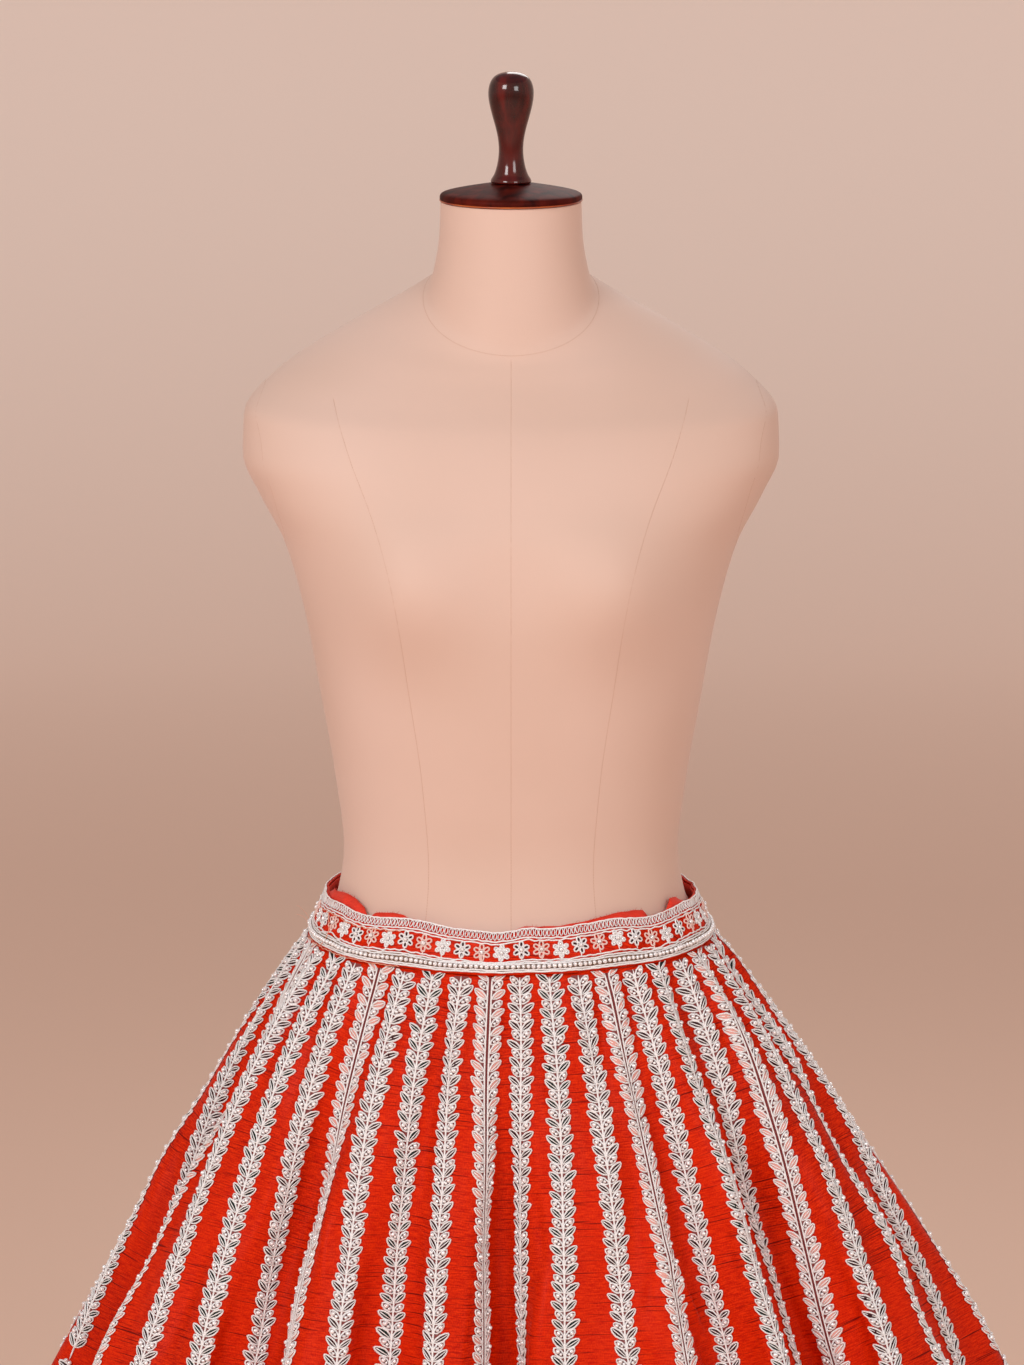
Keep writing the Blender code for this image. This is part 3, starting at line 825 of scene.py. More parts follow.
def lay_copies(sheet, shape, rows, places, turns, sizes=1.0, sideways=0.0, lift=0.0, mirror=1.0):
    """Copies of a flat shape laid on a sheet; sideways moves the root across, in metres."""
    rows, places, turns, sizes, sideways, lift, mirror = (
        np.asarray(v, float) for v in np.broadcast_arrays(rows, places, turns, sizes, sideways, lift, mirror))
    points, faces, maps = shape
    _, across, sink, reach = local_map(sheet, rows, places)
    x = points[:, 0] * mirror[:, None]
    y = points[:, 1]
    a = (x * np.cos(turns)[:, None] + y * np.sin(turns)[:, None]) * sizes[:, None] + sideways[:, None]
    b = (y * np.cos(turns)[:, None] - x * np.sin(turns)[:, None]) * sizes[:, None]
    move = a / across[:, None]
    drop = (-b - sink[:, None] * move) / reach[:, None]
    height = points[:, 2] * sizes[:, None] + lift[:, None]
    made = on_sheet(sheet, rows[:, None] + drop, places[:, None] + move, height)
    count = len(points)
    flipped = np.where((mirror < 0)[:, None, None], faces[None, :, ::-1], faces[None])
    every = flipped + (np.arange(len(rows)) * count)[:, None, None]
    every_map = np.where((mirror < 0)[:, None, None, None], maps[None, :, ::-1], maps[None])
    return made.reshape(-1, 3), every.reshape(-1, 3), every_map.reshape(-1, 3, 2)


def cord_on(sheet, rows, places, radius, lift, sides=6, sideways=0.0, twist=CORD_TWIST):
    """A cord along a line on a sheet, with its UVs counting its twists."""
    _, across, _, _ = local_map(sheet, rows, places)
    shift = np.asarray(sideways) / across
    middle = on_sheet(sheet, rows, places + shift, lift)
    out = on_sheet(sheet, rows, places + shift, 1.0) - on_sheet(sheet, rows, places + shift, 0.0)
    ahead = np.gradient(middle, axis=0)
    ahead /= np.linalg.norm(ahead, axis=-1, keepdims=True)
    side = np.cross(ahead, out)
    side /= np.linalg.norm(side, axis=-1, keepdims=True)
    out = np.cross(side, ahead)
    turn = np.linspace(0, 2 * pi, sides, endpoint=False)
    size = np.broadcast_to(radius, (len(middle),)).copy()
    size[[0, -1]] *= 0.2
    ring = (side[:, None] * np.cos(turn)[None, :, None] + out[:, None] * np.sin(turn)[None, :, None])
    points = middle[:, None] + ring * size[:, None, None]
    run = np.concatenate([[0], np.cumsum(np.linalg.norm(np.diff(middle, axis=0), axis=-1))]) / twist
    quads = grid_faces(len(middle), sides, closed=True)
    i, j = np.meshgrid(np.arange(len(middle) - 1), np.arange(sides), indexing="ij")
    u = np.stack([run[i], run[i + 1], run[i + 1], run[i]], -1).reshape(-1, 4)
    v = np.stack([j, j, j + 1, j + 1], -1).reshape(-1, 4) / sides
    return points.reshape(-1, 3), halved(quads), halved(np.stack([u, v], -1))


def patch_on(sheet, rows, places, lift, strand):
    """A flat patch of stitches on a grid of rows and places, at one share of a strand's turn."""
    points = on_sheet(sheet, rows, places, lift)
    faces = halved(grid_faces(*points.shape[:2]))
    return points.reshape(-1, 3), faces, np.zeros((len(faces), 3, 2)) + (strand, 0.0)


def strip_on(sheet, rows, place, left, right, lift):
    """A patch down one place, between two sideways distances in metres."""
    _, across, _, _ = local_map(sheet, rows, place)
    places = place + np.linspace(left, right, 4) / across[:, None]
    return patch_on(sheet, rows[:, None], places, lift, 0.15)


def piece_of(name, parts, materials):
    """One object from a list of (shape, index of its material)."""
    shape = joined([part for part, _ in parts])
    which = np.concatenate([np.full(len(part[1]), index) for part, index in parts])
    piece = mesh_object(name, shape[0], shape[1], materials, which, shape[2])
    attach(piece, "root")
    return piece

# %% [markdown]
# ## Ten kalis' embroidery
# Every fourth stripe lies over a seam: its left half is on one kali and its right half on the next, each
# with its own cord beside a dark red seam line, and its leaves are pink. Between two seams the leaves are
# maroon, dark green, maroon. A flat strip of dark red under the motifs is painted shade, which darkens the
# gaps between them. The stripes start under the waistband and stop about 345 mm down in a finial: two beads,
# a leaf laid crosswise, and a fork of cord.

# %% Stripes on each kali
ROW_PITCH = 0.0063
FIRST_ROW = 0.0045
LAST_ROW_UP = 0.004
ROOT_OFFSET = 0.0007
SEAM_ROOT_OFFSET = 0.0022
STEM_RADIUS = 0.00075
SEAM_CORD_OFFSET = 0.00135
LEAF_TURN = radians(50)
LOOP_TURN = radians(47)
CLOTH_CLEARANCE = 0.0001
# a dark red strip under each stripe's motifs, as painted shade in the gaps between them
GAP_SHADE_HALF_WIDTH = 0.0050
GAP_SHADE_LIFT = 0.00025
SEAM_LINE_RADIUS = 0.0004
SEAM_LINE_LIFT = 0.0003
STRIPE_TOP = 0.002
STEM_POINTS = 96
GAP_SHADE_POINTS = 48
# a finial's beads, leaf and fork, as distances below the stripe's end
FINIAL_SIZE = 1.3
FINIAL_BEADS_DOWN = 0.0018
FINIAL_BEADS_APART = 0.0017
FINIAL_LEAF_DOWN = 0.0062
FORK_DOWN = 0.0088
FORK_LENGTH = 0.0100
FORK_SPREAD = 0.0058
FORK_POINTS = 9
THIN_CORD = STEM_RADIUS * 0.85
# places in a list of materials: first the silver ones, then the coloured ones
CORD, BEADS = 0, 1
GREEN, MAROON, PINK, RED = 0, 1, 2, 3
# leaf fill of each stripe of a kali, from the one over its left seam
FILLS = (PINK, MAROON, GREEN, MAROON)
# share of a row that each stripe of a kali starts lower, and whether it starts with a loop
STARTS = ((0.0, 0), (0.55, 1), (0.2, 0), (0.75, 1))


def stripe_sides(stripe):
    """Sides of the stripe that this kali carries: both, or one where the stripe lies over a seam."""
    if stripe == 0:
        return (1,)
    if stripe == STRIPES_PER_KALI:
        return (-1,)
    return (-1, 1)


def finial(place, run, end, fill):
    """Two beads over a leaf laid crosswise, and a fork of two cords under it, at a stripe's end."""
    crosswise = {
        "rows": np.interp([end + FINIAL_LEAF_DOWN], run, FALLS),
        "places": place,
        "turns": pi / 2,
        "sizes": FINIAL_SIZE,
        "sideways": -LEAF_LENGTH * FINIAL_SIZE / 2,
        "lift": CLOTH_CLEARANCE,
    }
    silver_parts = [(lay_copies(skirt, silver_leaf, **crosswise), CORD)]
    satin_parts = [(lay_copies(skirt, leaf_fill, **crosswise), fill)]
    bead_row = np.interp([end + FINIAL_BEADS_DOWN], run, FALLS)
    share = np.linspace(0, 1, FORK_POINTS)
    falls = np.interp(end + FORK_DOWN + FORK_LENGTH * share, run, FALLS)
    middle = np.full(FORK_POINTS, float(place))
    for side in (-1, 1):
        apart = side * FINIAL_BEADS_APART
        silver_parts.append((lay_copies(skirt, bead, bead_row, place, 0.0, sideways=apart), BEADS))
        fork = cord_on(skirt, falls, middle, THIN_CORD, THIN_CORD, 5, side * FORK_SPREAD * share)
        silver_parts.append((fork, CORD))
    return silver_parts, satin_parts


def make_stripe(draw, number, stripe):
    """Silver parts and satin parts of one stripe, or of the half that lies on this kali."""
    place = (number - 1) * STRIPES_PER_KALI + stripe
    over_seam = stripe in (0, STRIPES_PER_KALI)
    late, starts_with_loop = STARTS[stripe % STRIPES_PER_KALI]
    run = stripe_length(skirt, place)
    end = np.interp(STRIPE_END_FALL, FALLS, run)
    downs = np.arange(FIRST_ROW + late * ROW_PITCH, end - LAST_ROW_UP, ROW_PITCH)
    loops = (np.arange(len(downs)) + starts_with_loop) % 2 == 1
    silver_parts, satin_parts = [], []
    for side in stripe_sides(stripe):
        root = side * (SEAM_ROOT_OFFSET if over_seam else ROOT_OFFSET)
        for is_loop, shape in ((False, silver_leaf), (True, loop_ring)):
            chosen = downs[loops == is_loop]
            count = len(chosen)
            rows = np.interp(chosen + draw.normal(0, 0.00012, count), run, FALLS)
            turns = side * ((LOOP_TURN if is_loop else LEAF_TURN) + draw.normal(0, 0.07, count))
            sizes = draw.normal(1.0, 0.035, count)
            laid = {"rows": rows, "places": place, "turns": turns, "sizes": sizes, "mirror": side}
            laid["sideways"] = root
            silver_parts.append((lay_copies(skirt, shape, lift=CLOTH_CLEARANCE, **laid), CORD))
            if is_loop:
                silver_parts.append((lay_copies(skirt, loop_beads, lift=CLOTH_CLEARANCE * 2, **laid), BEADS))
            else:
                fill = lay_copies(skirt, leaf_fill, lift=CLOTH_CLEARANCE, **laid)
                satin_parts.append((fill, FILLS[stripe % STRIPES_PER_KALI]))
    stem_falls = np.interp(np.linspace(STRIPE_TOP, end, STEM_POINTS), run, FALLS)
    gap_shade_falls = np.interp(np.linspace(STRIPE_TOP, downs[-1] - STRIPE_TOP, GAP_SHADE_POINTS), run, FALLS)
    if over_seam:
        side = stripe_sides(stripe)[0]
        stem = cord_on(skirt, stem_falls, place, THIN_CORD, STEM_RADIUS, 5, side * SEAM_CORD_OFFSET)
        left, right = sorted((side * SEAM_GAP, side * (GAP_SHADE_HALF_WIDTH + SEAM_GAP)))
    else:
        stem = cord_on(skirt, stem_falls, place, STEM_RADIUS, STEM_RADIUS)
        left, right = -GAP_SHADE_HALF_WIDTH, GAP_SHADE_HALF_WIDTH
    silver_parts.append((stem, CORD))
    # painted shade: a dark red strip under the motifs darkens the gaps between them
    satin_parts.append((strip_on(skirt, gap_shade_falls, place, left, right, GAP_SHADE_LIFT), RED))
    if stripe == 0:
        satin_parts.append((cord_on(skirt, stem_falls, place, SEAM_LINE_RADIUS, SEAM_LINE_LIFT, 4), RED))
    if stripe < STRIPES_PER_KALI:
        silver_more, satin_more = finial(place, run, end, FILLS[(stripe + 1) % STRIPES_PER_KALI])
        silver_parts += silver_more
        satin_parts += satin_more
    return silver_parts, satin_parts


colours = [green_satin, maroon_satin, pink_satin, dark_red]
for number in range(1, KALIS + 1):
    draw = np.random.default_rng(100 + number)
    silver_parts, satin_parts = [], []
    for stripe in range(STRIPES_PER_KALI + 1):
        silver_more, satin_more = make_stripe(draw, number, stripe)
        silver_parts += silver_more
        satin_parts += satin_more
    zari = piece_of(f"zari_{number:02d}", silver_parts, [silver, beads])
    fills = piece_of(f"satin_{number:02d}", satin_parts, colours)
print("triangles on one kali:", len(zari.data.polygons), "silver,", len(fills.data.polygons), "satin")

# %% [markdown]
# ## The waistband's surface
# The waistband is a straight strip 34 mm high that wraps the waist and tilts down at the front. Its cloth is
# stiff with trimming, so it waves and dips a little where the gathers below push on it. The same dips are
# used for everything that is sewn on it.

# %% Band surface
BAND_HEIGHT = 0.034
BAND_TOP_HALF_WIDTH = 0.1335
BAND_TOP_HALF_DEPTH = 0.0975
BAND_PROUD = 0.0008
BAND_CLOTH = 0.0012
BAND_UPS = np.linspace(-0.004, 0.046, 26)
BAND_MIDDLE_ROW = 13
BAND_PLACES_PER_PITCH = 32
# up to this height the dips fade towards the lower edge
DIP_HEIGHT = 0.012
DIP_FLARE = 0.8
# place, half width in pitches, how far the band dips
BAND_DIPS = (
    (-6.8, 1.0, -0.0012),
    (-5.2, 1.3, 0.0014),
    (-3.0, 1.5, -0.0016),
    (0.0, 3.6, 0.0036),
    (0.1, 0.9, 0.0012),
    (1.3, 0.6, -0.0012),
    (2.6, 1.2, 0.0012),
    (4.6, 1.1, -0.0015),
    (6.3, 1.1, 0.0012),
    (8.2, 1.2, -0.0014),
    (12.0, 1.8, 0.0012),
    (-11.0, 1.8, -0.0012),
    (15.5, 1.5, -0.0010),
    (-16.0, 1.6, 0.0012),
)


def bell(away):
    return np.where(np.abs(away) < 1, 0.5 + 0.5 * np.cos(pi * away), 0)


def band_row(up, places):
    """The waist's outer surface this far above the waistband's lower edge."""
    share = up / BAND_HEIGHT
    width = SECTIONS[0, 1] + (BAND_TOP_HALF_WIDTH - SECTIONS[0, 1]) * share
    depth = SECTIONS[0, 3] + (BAND_TOP_HALF_DEPTH - SECTIONS[0, 3]) * share
    x, y, _, _ = oval(width, width, depth, SECTIONS[0, 4], SAMPLES)
    lean = SECTIONS[0, 1] - BAND_TOP_HALF_WIDTH
    rise = up * np.sqrt(BAND_HEIGHT**2 - lean**2) / BAND_HEIGHT
    return round_ring(x, y, WAIST_LEVEL + rise + tan(WAIST_TILT) * y, places)


def band_dip(places):
    dip = np.zeros(len(places))
    for place, half, depth in BAND_DIPS:
        dip += depth * bell(away_round(places, place) / half)
    return dip


BAND_PLACES = np.linspace(-20, 20, STRIPES * BAND_PLACES_PER_PITCH + 1)
dips = band_dip(BAND_PLACES)
band_points = np.array([band_row(up, BAND_PLACES) for up in BAND_UPS])
band_points[..., 2] -= dips[None, :] * np.clip(BAND_UPS / DIP_HEIGHT, 0.3, 1)[:, None]
# rows of a sheet run downwards, so its row is the distance below the top
band_rows = BAND_UPS[-1] - BAND_UPS[::-1]
band = make_sheet(band_rows, BAND_PLACES, band_points[::-1])
band_lift = fine_waves(band_rows[:, None] * 6, BAND_PLACES[None, :], 21, 0.00035)
# where it dips, its lower edge stands out over the flare of the skirt
below = np.clip(1 - (BAND_UPS[-1] - band_rows)[:, None] / BAND_HEIGHT, 0, 1)
flare = below * np.maximum(dips, 0)[None, :] * DIP_FLARE
band = ruffled(band, band_lift + flare + BAND_PROUD)


def band_level(up):
    """The band sheet's row for a height above the lower edge."""
    return BAND_UPS[-1] - np.asarray(up, float)


band_pitch = band["pitch"][BAND_MIDDLE_ROW]
print("band once round:", round(band_pitch * STRIPES, 3), "m")

# %% [markdown]
# ## Waistband cloth and facing
# The band itself is red silk folded over at both edges. Behind it stands a facing of plain red cotton
# with a raw edge, which peeks out above the band in two places at each side. Its edge sheds short
# threads, which are fine cords here.

# %% Waistband and facing
BAND_SEAM = 0.0004
BAND_ROWS, BAND_COLUMNS = 12, 481
# the fold at each edge turns the silk inwards by this much, within about this height
EDGE_ROLL = 0.0007
EDGE_REACH = 0.0008
band_ups = np.linspace(0.0, BAND_HEIGHT, BAND_ROWS)[::-1]
band_gap = BAND_SEAM / band_pitch
band_span = np.linspace(-20 + band_gap, 20 - band_gap, BAND_COLUMNS)
edge_roll = np.exp(-band_ups / EDGE_REACH) + np.exp(-(BAND_HEIGHT - band_ups) / EDGE_REACH)
edge_roll = -EDGE_ROLL * edge_roll[:, None]
band_cloth = draped_panel(
    "band_cloth", band, band_level(band_ups)[:, None], band_span[None, :], silk, BAND_CLOTH, edge_roll)
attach(band_cloth, "root")
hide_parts("waistband")

FACING_INSIDE = -0.0022
FACING_CLOTH = 0.0006
FACING_BOTTOM = 0.001
FRAY_PITCH = 0.11
FRAY_RADIUS = 0.00013
# where the raw edge shows
FLAPS = ((-8.3, -5.4), (-4.8, -3.4), (1.2, 6.2), (7.6, 8.4))
# place and height above the band of the raw edge, which is cut into two flaps at each side
RAW_EDGE = (
    (-20.0, -0.0015), (-8.8, -0.0015), (-8.35, 0.0052), (-7.2, 0.0072), (-6.2, 0.0076), (-5.6, 0.0046),
    (-5.2, -0.0015), (-4.9, 0.0024), (-4.1, 0.0040), (-3.6, 0.0022), (-3.1, -0.0015), (0.6, -0.0015),
    (1.2, 0.0010), (3.6, 0.0016), (4.7, 0.0030), (5.7, 0.0058), (6.2, 0.0050), (6.35, -0.0015),
    (7.3, -0.0015), (7.75, 0.0060), (8.2, 0.0046), (8.8, -0.0015), (20.0, -0.0015),
)


def facing_top(places):
    """Height of the facing's raw edge above the band's lower edge."""
    at, height = np.array(RAW_EDGE).T
    return BAND_HEIGHT + np.interp(places, at, height)


facing_material, tree, shader = new_material("red_facing_cotton", Roughness=0.72, Sheen_Weight=0.06)
where = add_node(tree, "TexCoord")
slubs = place_group(tree, slub_group, UV=where.outputs["UV"])
mix_colours(tree, slubs.outputs["Grain"], srgb(196, 26, 8), srgb(238, 56, 24), shader)
add_bump(tree, slubs.outputs["Grain"], shader, 0.00015, 0.6)

facing_share = np.linspace(0, 1, 7)[:, None]
frayed = facing_top(band_span) + fine_waves(np.zeros(1), band_span, 5, 0.00012)
facing_ups = frayed[None, :] + (FACING_BOTTOM - frayed[None, :]) * facing_share
facing_waves = fine_waves(facing_ups * 9, band_span[None, :] * 1.5, 9, 0.0003) * (facing_ups > BAND_HEIGHT)
facing_cloth = draped_panel(
    "facing_cloth", band, band_level(facing_ups), band_span[None, :], facing_material, FACING_CLOTH,
    FACING_INSIDE + facing_waves)
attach(facing_cloth, "root")
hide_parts("waist_facing")

red_thread = cord_material("red_cotton_thread", srgb(170, 24, 10), srgb(232, 60, 30), 0.7)
draw = np.random.default_rng(31)
frays = []
for start, end in FLAPS:
    for at in np.arange(start, end, FRAY_PITCH):
        reach = draw.uniform(0.0010, 0.0026)
        lean = draw.normal(0, 0.07)
        ups = facing_top(np.array([at]))[0] - 0.001 + np.linspace(0, reach, 5)
        places = at + lean * np.linspace(0, 1, 5)**2
        frays.append((cord_on(band, band_level(ups), places, FRAY_RADIUS, FACING_INSIDE, 3), 0))
fray = piece_of("facing_fray", frays, [red_thread])
print(len(frays), "frayed threads")

# %% [markdown]
# ## Trimming of the waistband
# Two silver trims frame a red strip of small flowers. The upper trim is a ladder of small upright rings
# between cords. The lower trim is a row of round beads on a beige tape, between pairs of cords. The flowers
# have six looped petals round a bright bead, and a short stem down to the lower trim. They come in maroon,
# open pink and beaded silver by turns.

# %% Trims and flowers
BAND_ROUND = band_pitch * STRIPES
TRIM_PLACES = np.linspace(-20 + band_gap, 20 - band_gap, 441)
# height above the band's lower edge, radius, how much it wavers
TRIM_CORDS = (
    (0.0020, 0.00066, 0.00010),
    (0.0033, 0.00062, 0.00010),
    (0.0081, 0.00062, 0.00010),
    (0.0094, 0.00058, 0.00020),
    (0.0112, 0.00058, 0.00030),
    (0.0251, 0.00058, 0.00026),
    (0.0269, 0.00062, 0.00014),
    (0.0333, 0.00062, 0.00010),
)
BEAD_ROW_UP = 0.0057
BAND_BEAD_RADIUS = 0.00174
BAND_BEAD_PITCH = 0.0035
TAPE_LOW, TAPE_HIGH = 0.0024, 0.0100
TAPE_LIFT = 0.0002
LADDER_UP = 0.0281
LADDER_HEIGHT = 0.0048
LADDER_WIDTH = 0.0020
LADDER_RADIUS = 0.00050
LADDER_PITCH = 0.0030
FLOWER_UP = 0.0189
FLOWER_PITCH = 0.0139
PETAL_LENGTH = 0.0042
PETAL_WIDTH = 0.0028
PETALS = 6
FLOWER_START = -5.35
FLOWER_COUNT = 160
FLOWER_BEAD_RADIUS = 0.0016
FLOWER_STEM_DOWN = 0.0078
# the share of a petal's length that its root lies away from the flower's middle
PETAL_OUT = 0.42
# how far short of the centre back the rings and the beads stop, in pitches, and the flowers' last place
LADDER_MARGIN = 0.06
BEAD_MARGIN = 0.08
LAST_FLOWER = 19.6

trim_parts = []
for index, (up, radius, waver) in enumerate(TRIM_CORDS):
    wander = fine_waves(np.zeros(1), TRIM_PLACES * 3, 40 + index, waver)
    trim_parts.append((cord_on(band, band_level(up + wander), TRIM_PLACES, radius, radius * 0.9, 5), CORD))

draw = np.random.default_rng(51)
ladder_places = np.arange(-20 + LADDER_MARGIN, 20 - LADDER_MARGIN, LADDER_PITCH / BAND_ROUND * STRIPES)
ladder_ring = ring_of_cord(LADDER_HEIGHT, LADDER_WIDTH, 8, 3, 0.0, LADDER_RADIUS)
leans = draw.normal(0.12, 0.06, len(ladder_places))
sizes = draw.normal(1.0, 0.04, len(ladder_places))
ladder_row = band_level(LADDER_UP)
rings = lay_copies(band, ladder_ring, ladder_row, ladder_places, leans, sizes, lift=CLOTH_CLEARANCE)
trim_parts.append((rings, CORD))

bead_places = np.arange(-20 + BEAD_MARGIN, 20 - BEAD_MARGIN, BAND_BEAD_PITCH / BAND_ROUND * STRIPES)
band_bead = round_bead(BAND_BEAD_RADIUS, BAND_BEAD_RADIUS)
bead_rows = band_level(BEAD_ROW_UP + draw.normal(0, 0.00012, len(bead_places)))
sizes = draw.normal(1.0, 0.05, len(bead_places))
trim_parts.append((lay_copies(band, band_bead, bead_rows, bead_places, 0.0, sizes), BEADS))
# the beads lie on a beige tape, which shows in the gaps between them
tape_rows = band_level(np.linspace(TAPE_LOW, TAPE_HIGH, 4))[:, None]
trim_parts.append((patch_on(band, tape_rows, TRIM_PLACES[None, ::2], TAPE_LIFT, 0.0), 2))
tape_cotton = satin_material("beige_tape", srgb(138, 106, 84), srgb(176, 142, 116))
band_trim = piece_of("band_trim", trim_parts, [silver, beads, tape_cotton])

petal_ring = ring_of_cord(PETAL_LENGTH, PETAL_WIDTH, 8, 4, -0.1)
petal_fill = fill_of_satin(PETAL_LENGTH * 0.9, PETAL_WIDTH * 0.9, 8, -0.1)
petal_bead = moved(round_bead(PETAL_WIDTH * 0.36, 0.0009), PETAL_LENGTH * 0.55)
flower_bead = round_bead(FLOWER_BEAD_RADIUS, 0.0014)
flower_stem = straight_thread(0.0032, 0.0006, 0.0005)
pink_cord = cord_material("pink_cord", srgb(238, 186, 176), srgb(255, 228, 220), 0.45)
counted = np.arange(-FLOWER_COUNT // 2, FLOWER_COUNT // 2)
flower_places = FLOWER_START + counted * FLOWER_PITCH / BAND_ROUND * STRIPES
kinds = counted % 3
inside = np.abs(flower_places) < LAST_FLOWER
flower_places, kinds = flower_places[inside], kinds[inside]
flower_rows = band_level(FLOWER_UP + draw.normal(0, 0.00035, len(flower_places)))
spin = draw.normal(0.0, 0.12, len(flower_places))
flower_parts, flower_fills = [], []
out = PETAL_LENGTH * PETAL_OUT
PINK_CORD = 2
MAROON_FILL, SILVER_FILL = 0, 1
# cord and fill of the three kinds; the pink one is open, and the silver one has a bead in each petal
for kind, (cord, fill) in enumerate(((CORD, MAROON_FILL), (PINK_CORD, None), (CORD, SILVER_FILL))):
    chosen = kinds == kind
    rows, places, turns = flower_rows[chosen], flower_places[chosen], spin[chosen]
    for petal in range(PETALS):
        petal_turns = turns + 2 * pi * petal / PETALS
        laid = {
            "rows": rows - out * np.cos(petal_turns),
            "places": places,
            "turns": petal_turns,
            "sideways": out * np.sin(petal_turns),
        }
        flower_parts.append((lay_copies(band, petal_ring, **laid), cord))
        if fill is not None:
            flower_fills.append((lay_copies(band, petal_fill, **laid), fill))
        if fill == SILVER_FILL:
            flower_parts.append((lay_copies(band, petal_bead, **laid), BEADS))
    flower_parts.append((lay_copies(band, flower_bead, rows, places, 0.0, lift=0.0002), BEADS))
    flower_parts.append((lay_copies(band, flower_stem, rows + FLOWER_STEM_DOWN, places, turns * 0.5), cord))
flowers = piece_of("band_flowers", flower_parts, [silver, beads, pink_cord])
silver_satin = satin_material("silver_satin", srgb(214, 208, 200), srgb(240, 238, 232))
petals = piece_of("band_petals", flower_fills, [maroon_satin, silver_satin])
print(len(flower_places), "flowers,", len(bead_places), "beads,", len(ladder_places), "rings")
for piece in (band_trim, flowers, petals):
    print(piece.name, "has", len(piece.data.polygons), "triangles")

# %% [markdown]
# ## Hem
# The hem is held by a running stitch of red thread 14 mm above the edge. The thread dips into the cloth
# between its stitches, so only every other half wave of it shows.

# %% Hem stitches
HEM_STITCH = 0.0045
HEM_STITCH_UP = 0.014
HEM_THREAD = 0.00028
hem_fall = 1 - HEM_STITCH_UP / KALI_LENGTH
stitch_count = int(np.interp(hem_fall, FALLS, skirt["pitch"]) * STRIPES / HEM_STITCH)
hem_places = np.linspace(-20, 20, stitch_count * 4 + 1)
hem_wave = 0.00035 * np.sin(np.arange(len(hem_places)) * pi / 2)
hem_line = cord_on(skirt, np.full(len(hem_places), hem_fall), hem_places, HEM_THREAD, hem_wave, 3)
hem_thread = piece_of("hem_stitches", [(hem_line, 0)], [dark_red])
print(stitch_count, "stitches round the hem")

# %% [markdown]
# ## Tacking and loose threads
# A maker's tacking thread still runs along the left trims and crosses the band once, and two loose ends of
# thread stick out at the left side.

# %% Peach threads
TACK_RADIUS = 0.00030
LOOSE_RADIUS = 0.00012
tack_parts = []
for up, start, end in ((0.0004, -8.6, -3.2), (0.0243, -8.2, -3.4)):
    places = np.linspace(start, end, 90)
    wander = fine_waves(np.zeros(1), places * 4, int(up * 1e5), 0.00035)
    stitches = 0.0015 + 0.00025 * np.sin(places * 9)
    tack_parts.append((cord_on(band, band_level(up + wander), places, TACK_RADIUS, stitches, 4), 0))
ups = np.linspace(0.0, 0.0242, 24)
crossing = -7.0 + 0.25 * np.sin(ups * 180)
tack_parts.append((cord_on(band, band_level(ups), crossing, TACK_RADIUS, 0.0017, 4), 0))
share = np.linspace(0, 1, 14)
# place, sweep round the band and length of each loose end, which curls up and outwards
for start, sweep, length in ((-9.2, -1.1, 0.016), (-9.0, -0.4, 0.012)):
    rows = band_level(0.002 + length * 0.4 * np.sin(share * 2.4))
    away = 0.001 + length * share**1.5
    tack_parts.append((cord_on(band, rows, start + sweep * share, LOOSE_RADIUS, away, 3), 0))
tacking = piece_of("tacking_threads", tack_parts, [peach])
print("tacking threads:", len(tack_parts))

# %% [markdown]
# ## Dress form
# The form is a padded torso under smooth stretched cloth the colour of skin. Its rings are the frame's,
# joined by a smooth curve with many more rows, so that it shows no facets. Fine seams run down the
# centre front and over each side of the bust, round the foot of the neck, and round each armhole's plate.

# %% Form surface
# level, half width, half depth, middle's y, squareness, forward tilt in degrees
FORM_RINGS = np.array([
    (0.8200, 0.1480, 0.1000, 0.004, 2.20, 0),
    (0.8700, 0.1560, 0.1040, 0.004, 2.20, 0),
    (0.9300, 0.1570, 0.1050, 0.003, 2.20, 3),
    (0.9750, 0.1515, 0.1060, 0.001, 2.15, 5),
    (1.0060, 0.1430, 0.1045, 0.000, 2.10, 6.2),
    (1.0360, 0.1262, 0.0915, 0.000, 2.10, 6.2),
    (1.0700, 0.1215, 0.0890, 0.000, 2.10, 6),
    (1.1200, 0.1270, 0.0950, -0.001, 2.15, 5),
    (1.1800, 0.1370, 0.1040, -0.003, 2.20, 3),
    (1.2400, 0.1480, 0.1100, -0.004, 2.25, 0),
    (1.2900, 0.1620, 0.1090, -0.003, 2.30, 0),
    (1.3250, 0.1800, 0.1040, 0.000, 2.40, 2),
    (1.3550, 0.1925, 0.0970, 0.002, 2.40, 5),
    (1.3840, 0.1915, 0.0880, 0.004, 2.35, 10),
    (1.4070, 0.1720, 0.0770, 0.006, 2.20, 16),
    (1.4335, 0.1245, 0.0640, 0.009, 2.10, 24),
    (1.4520, 0.0800, 0.0560, 0.008, 2.00, 32),
    (1.4635, 0.0612, 0.0525, 0.006, 2.00, 34),
    (1.4860, 0.0545, 0.0505, 0.005, 2.00, 24),
    (1.5090, 0.0512, 0.0492, 0.004, 2.00, 15),
    (1.5325, 0.0503, 0.0488, 0.003, 2.00, 9),
])
BUST_LEVEL = 1.262
BUST_SIDE = 0.074
BUST_HEIGHT = 0.018
BUST_REACH = 0.046
FORM_TOP = FORM_RINGS[-1, 0]
FORM_BOTTOM = FORM_RINGS[0, 0]
FORM_PLACES = np.linspace(-20, 20, 145)
# the rows lie closer above this level, where the shoulders and the neck bend more
SHOULDER_LEVEL = 1.38
FORM_WAIST_LEVEL = 1.07


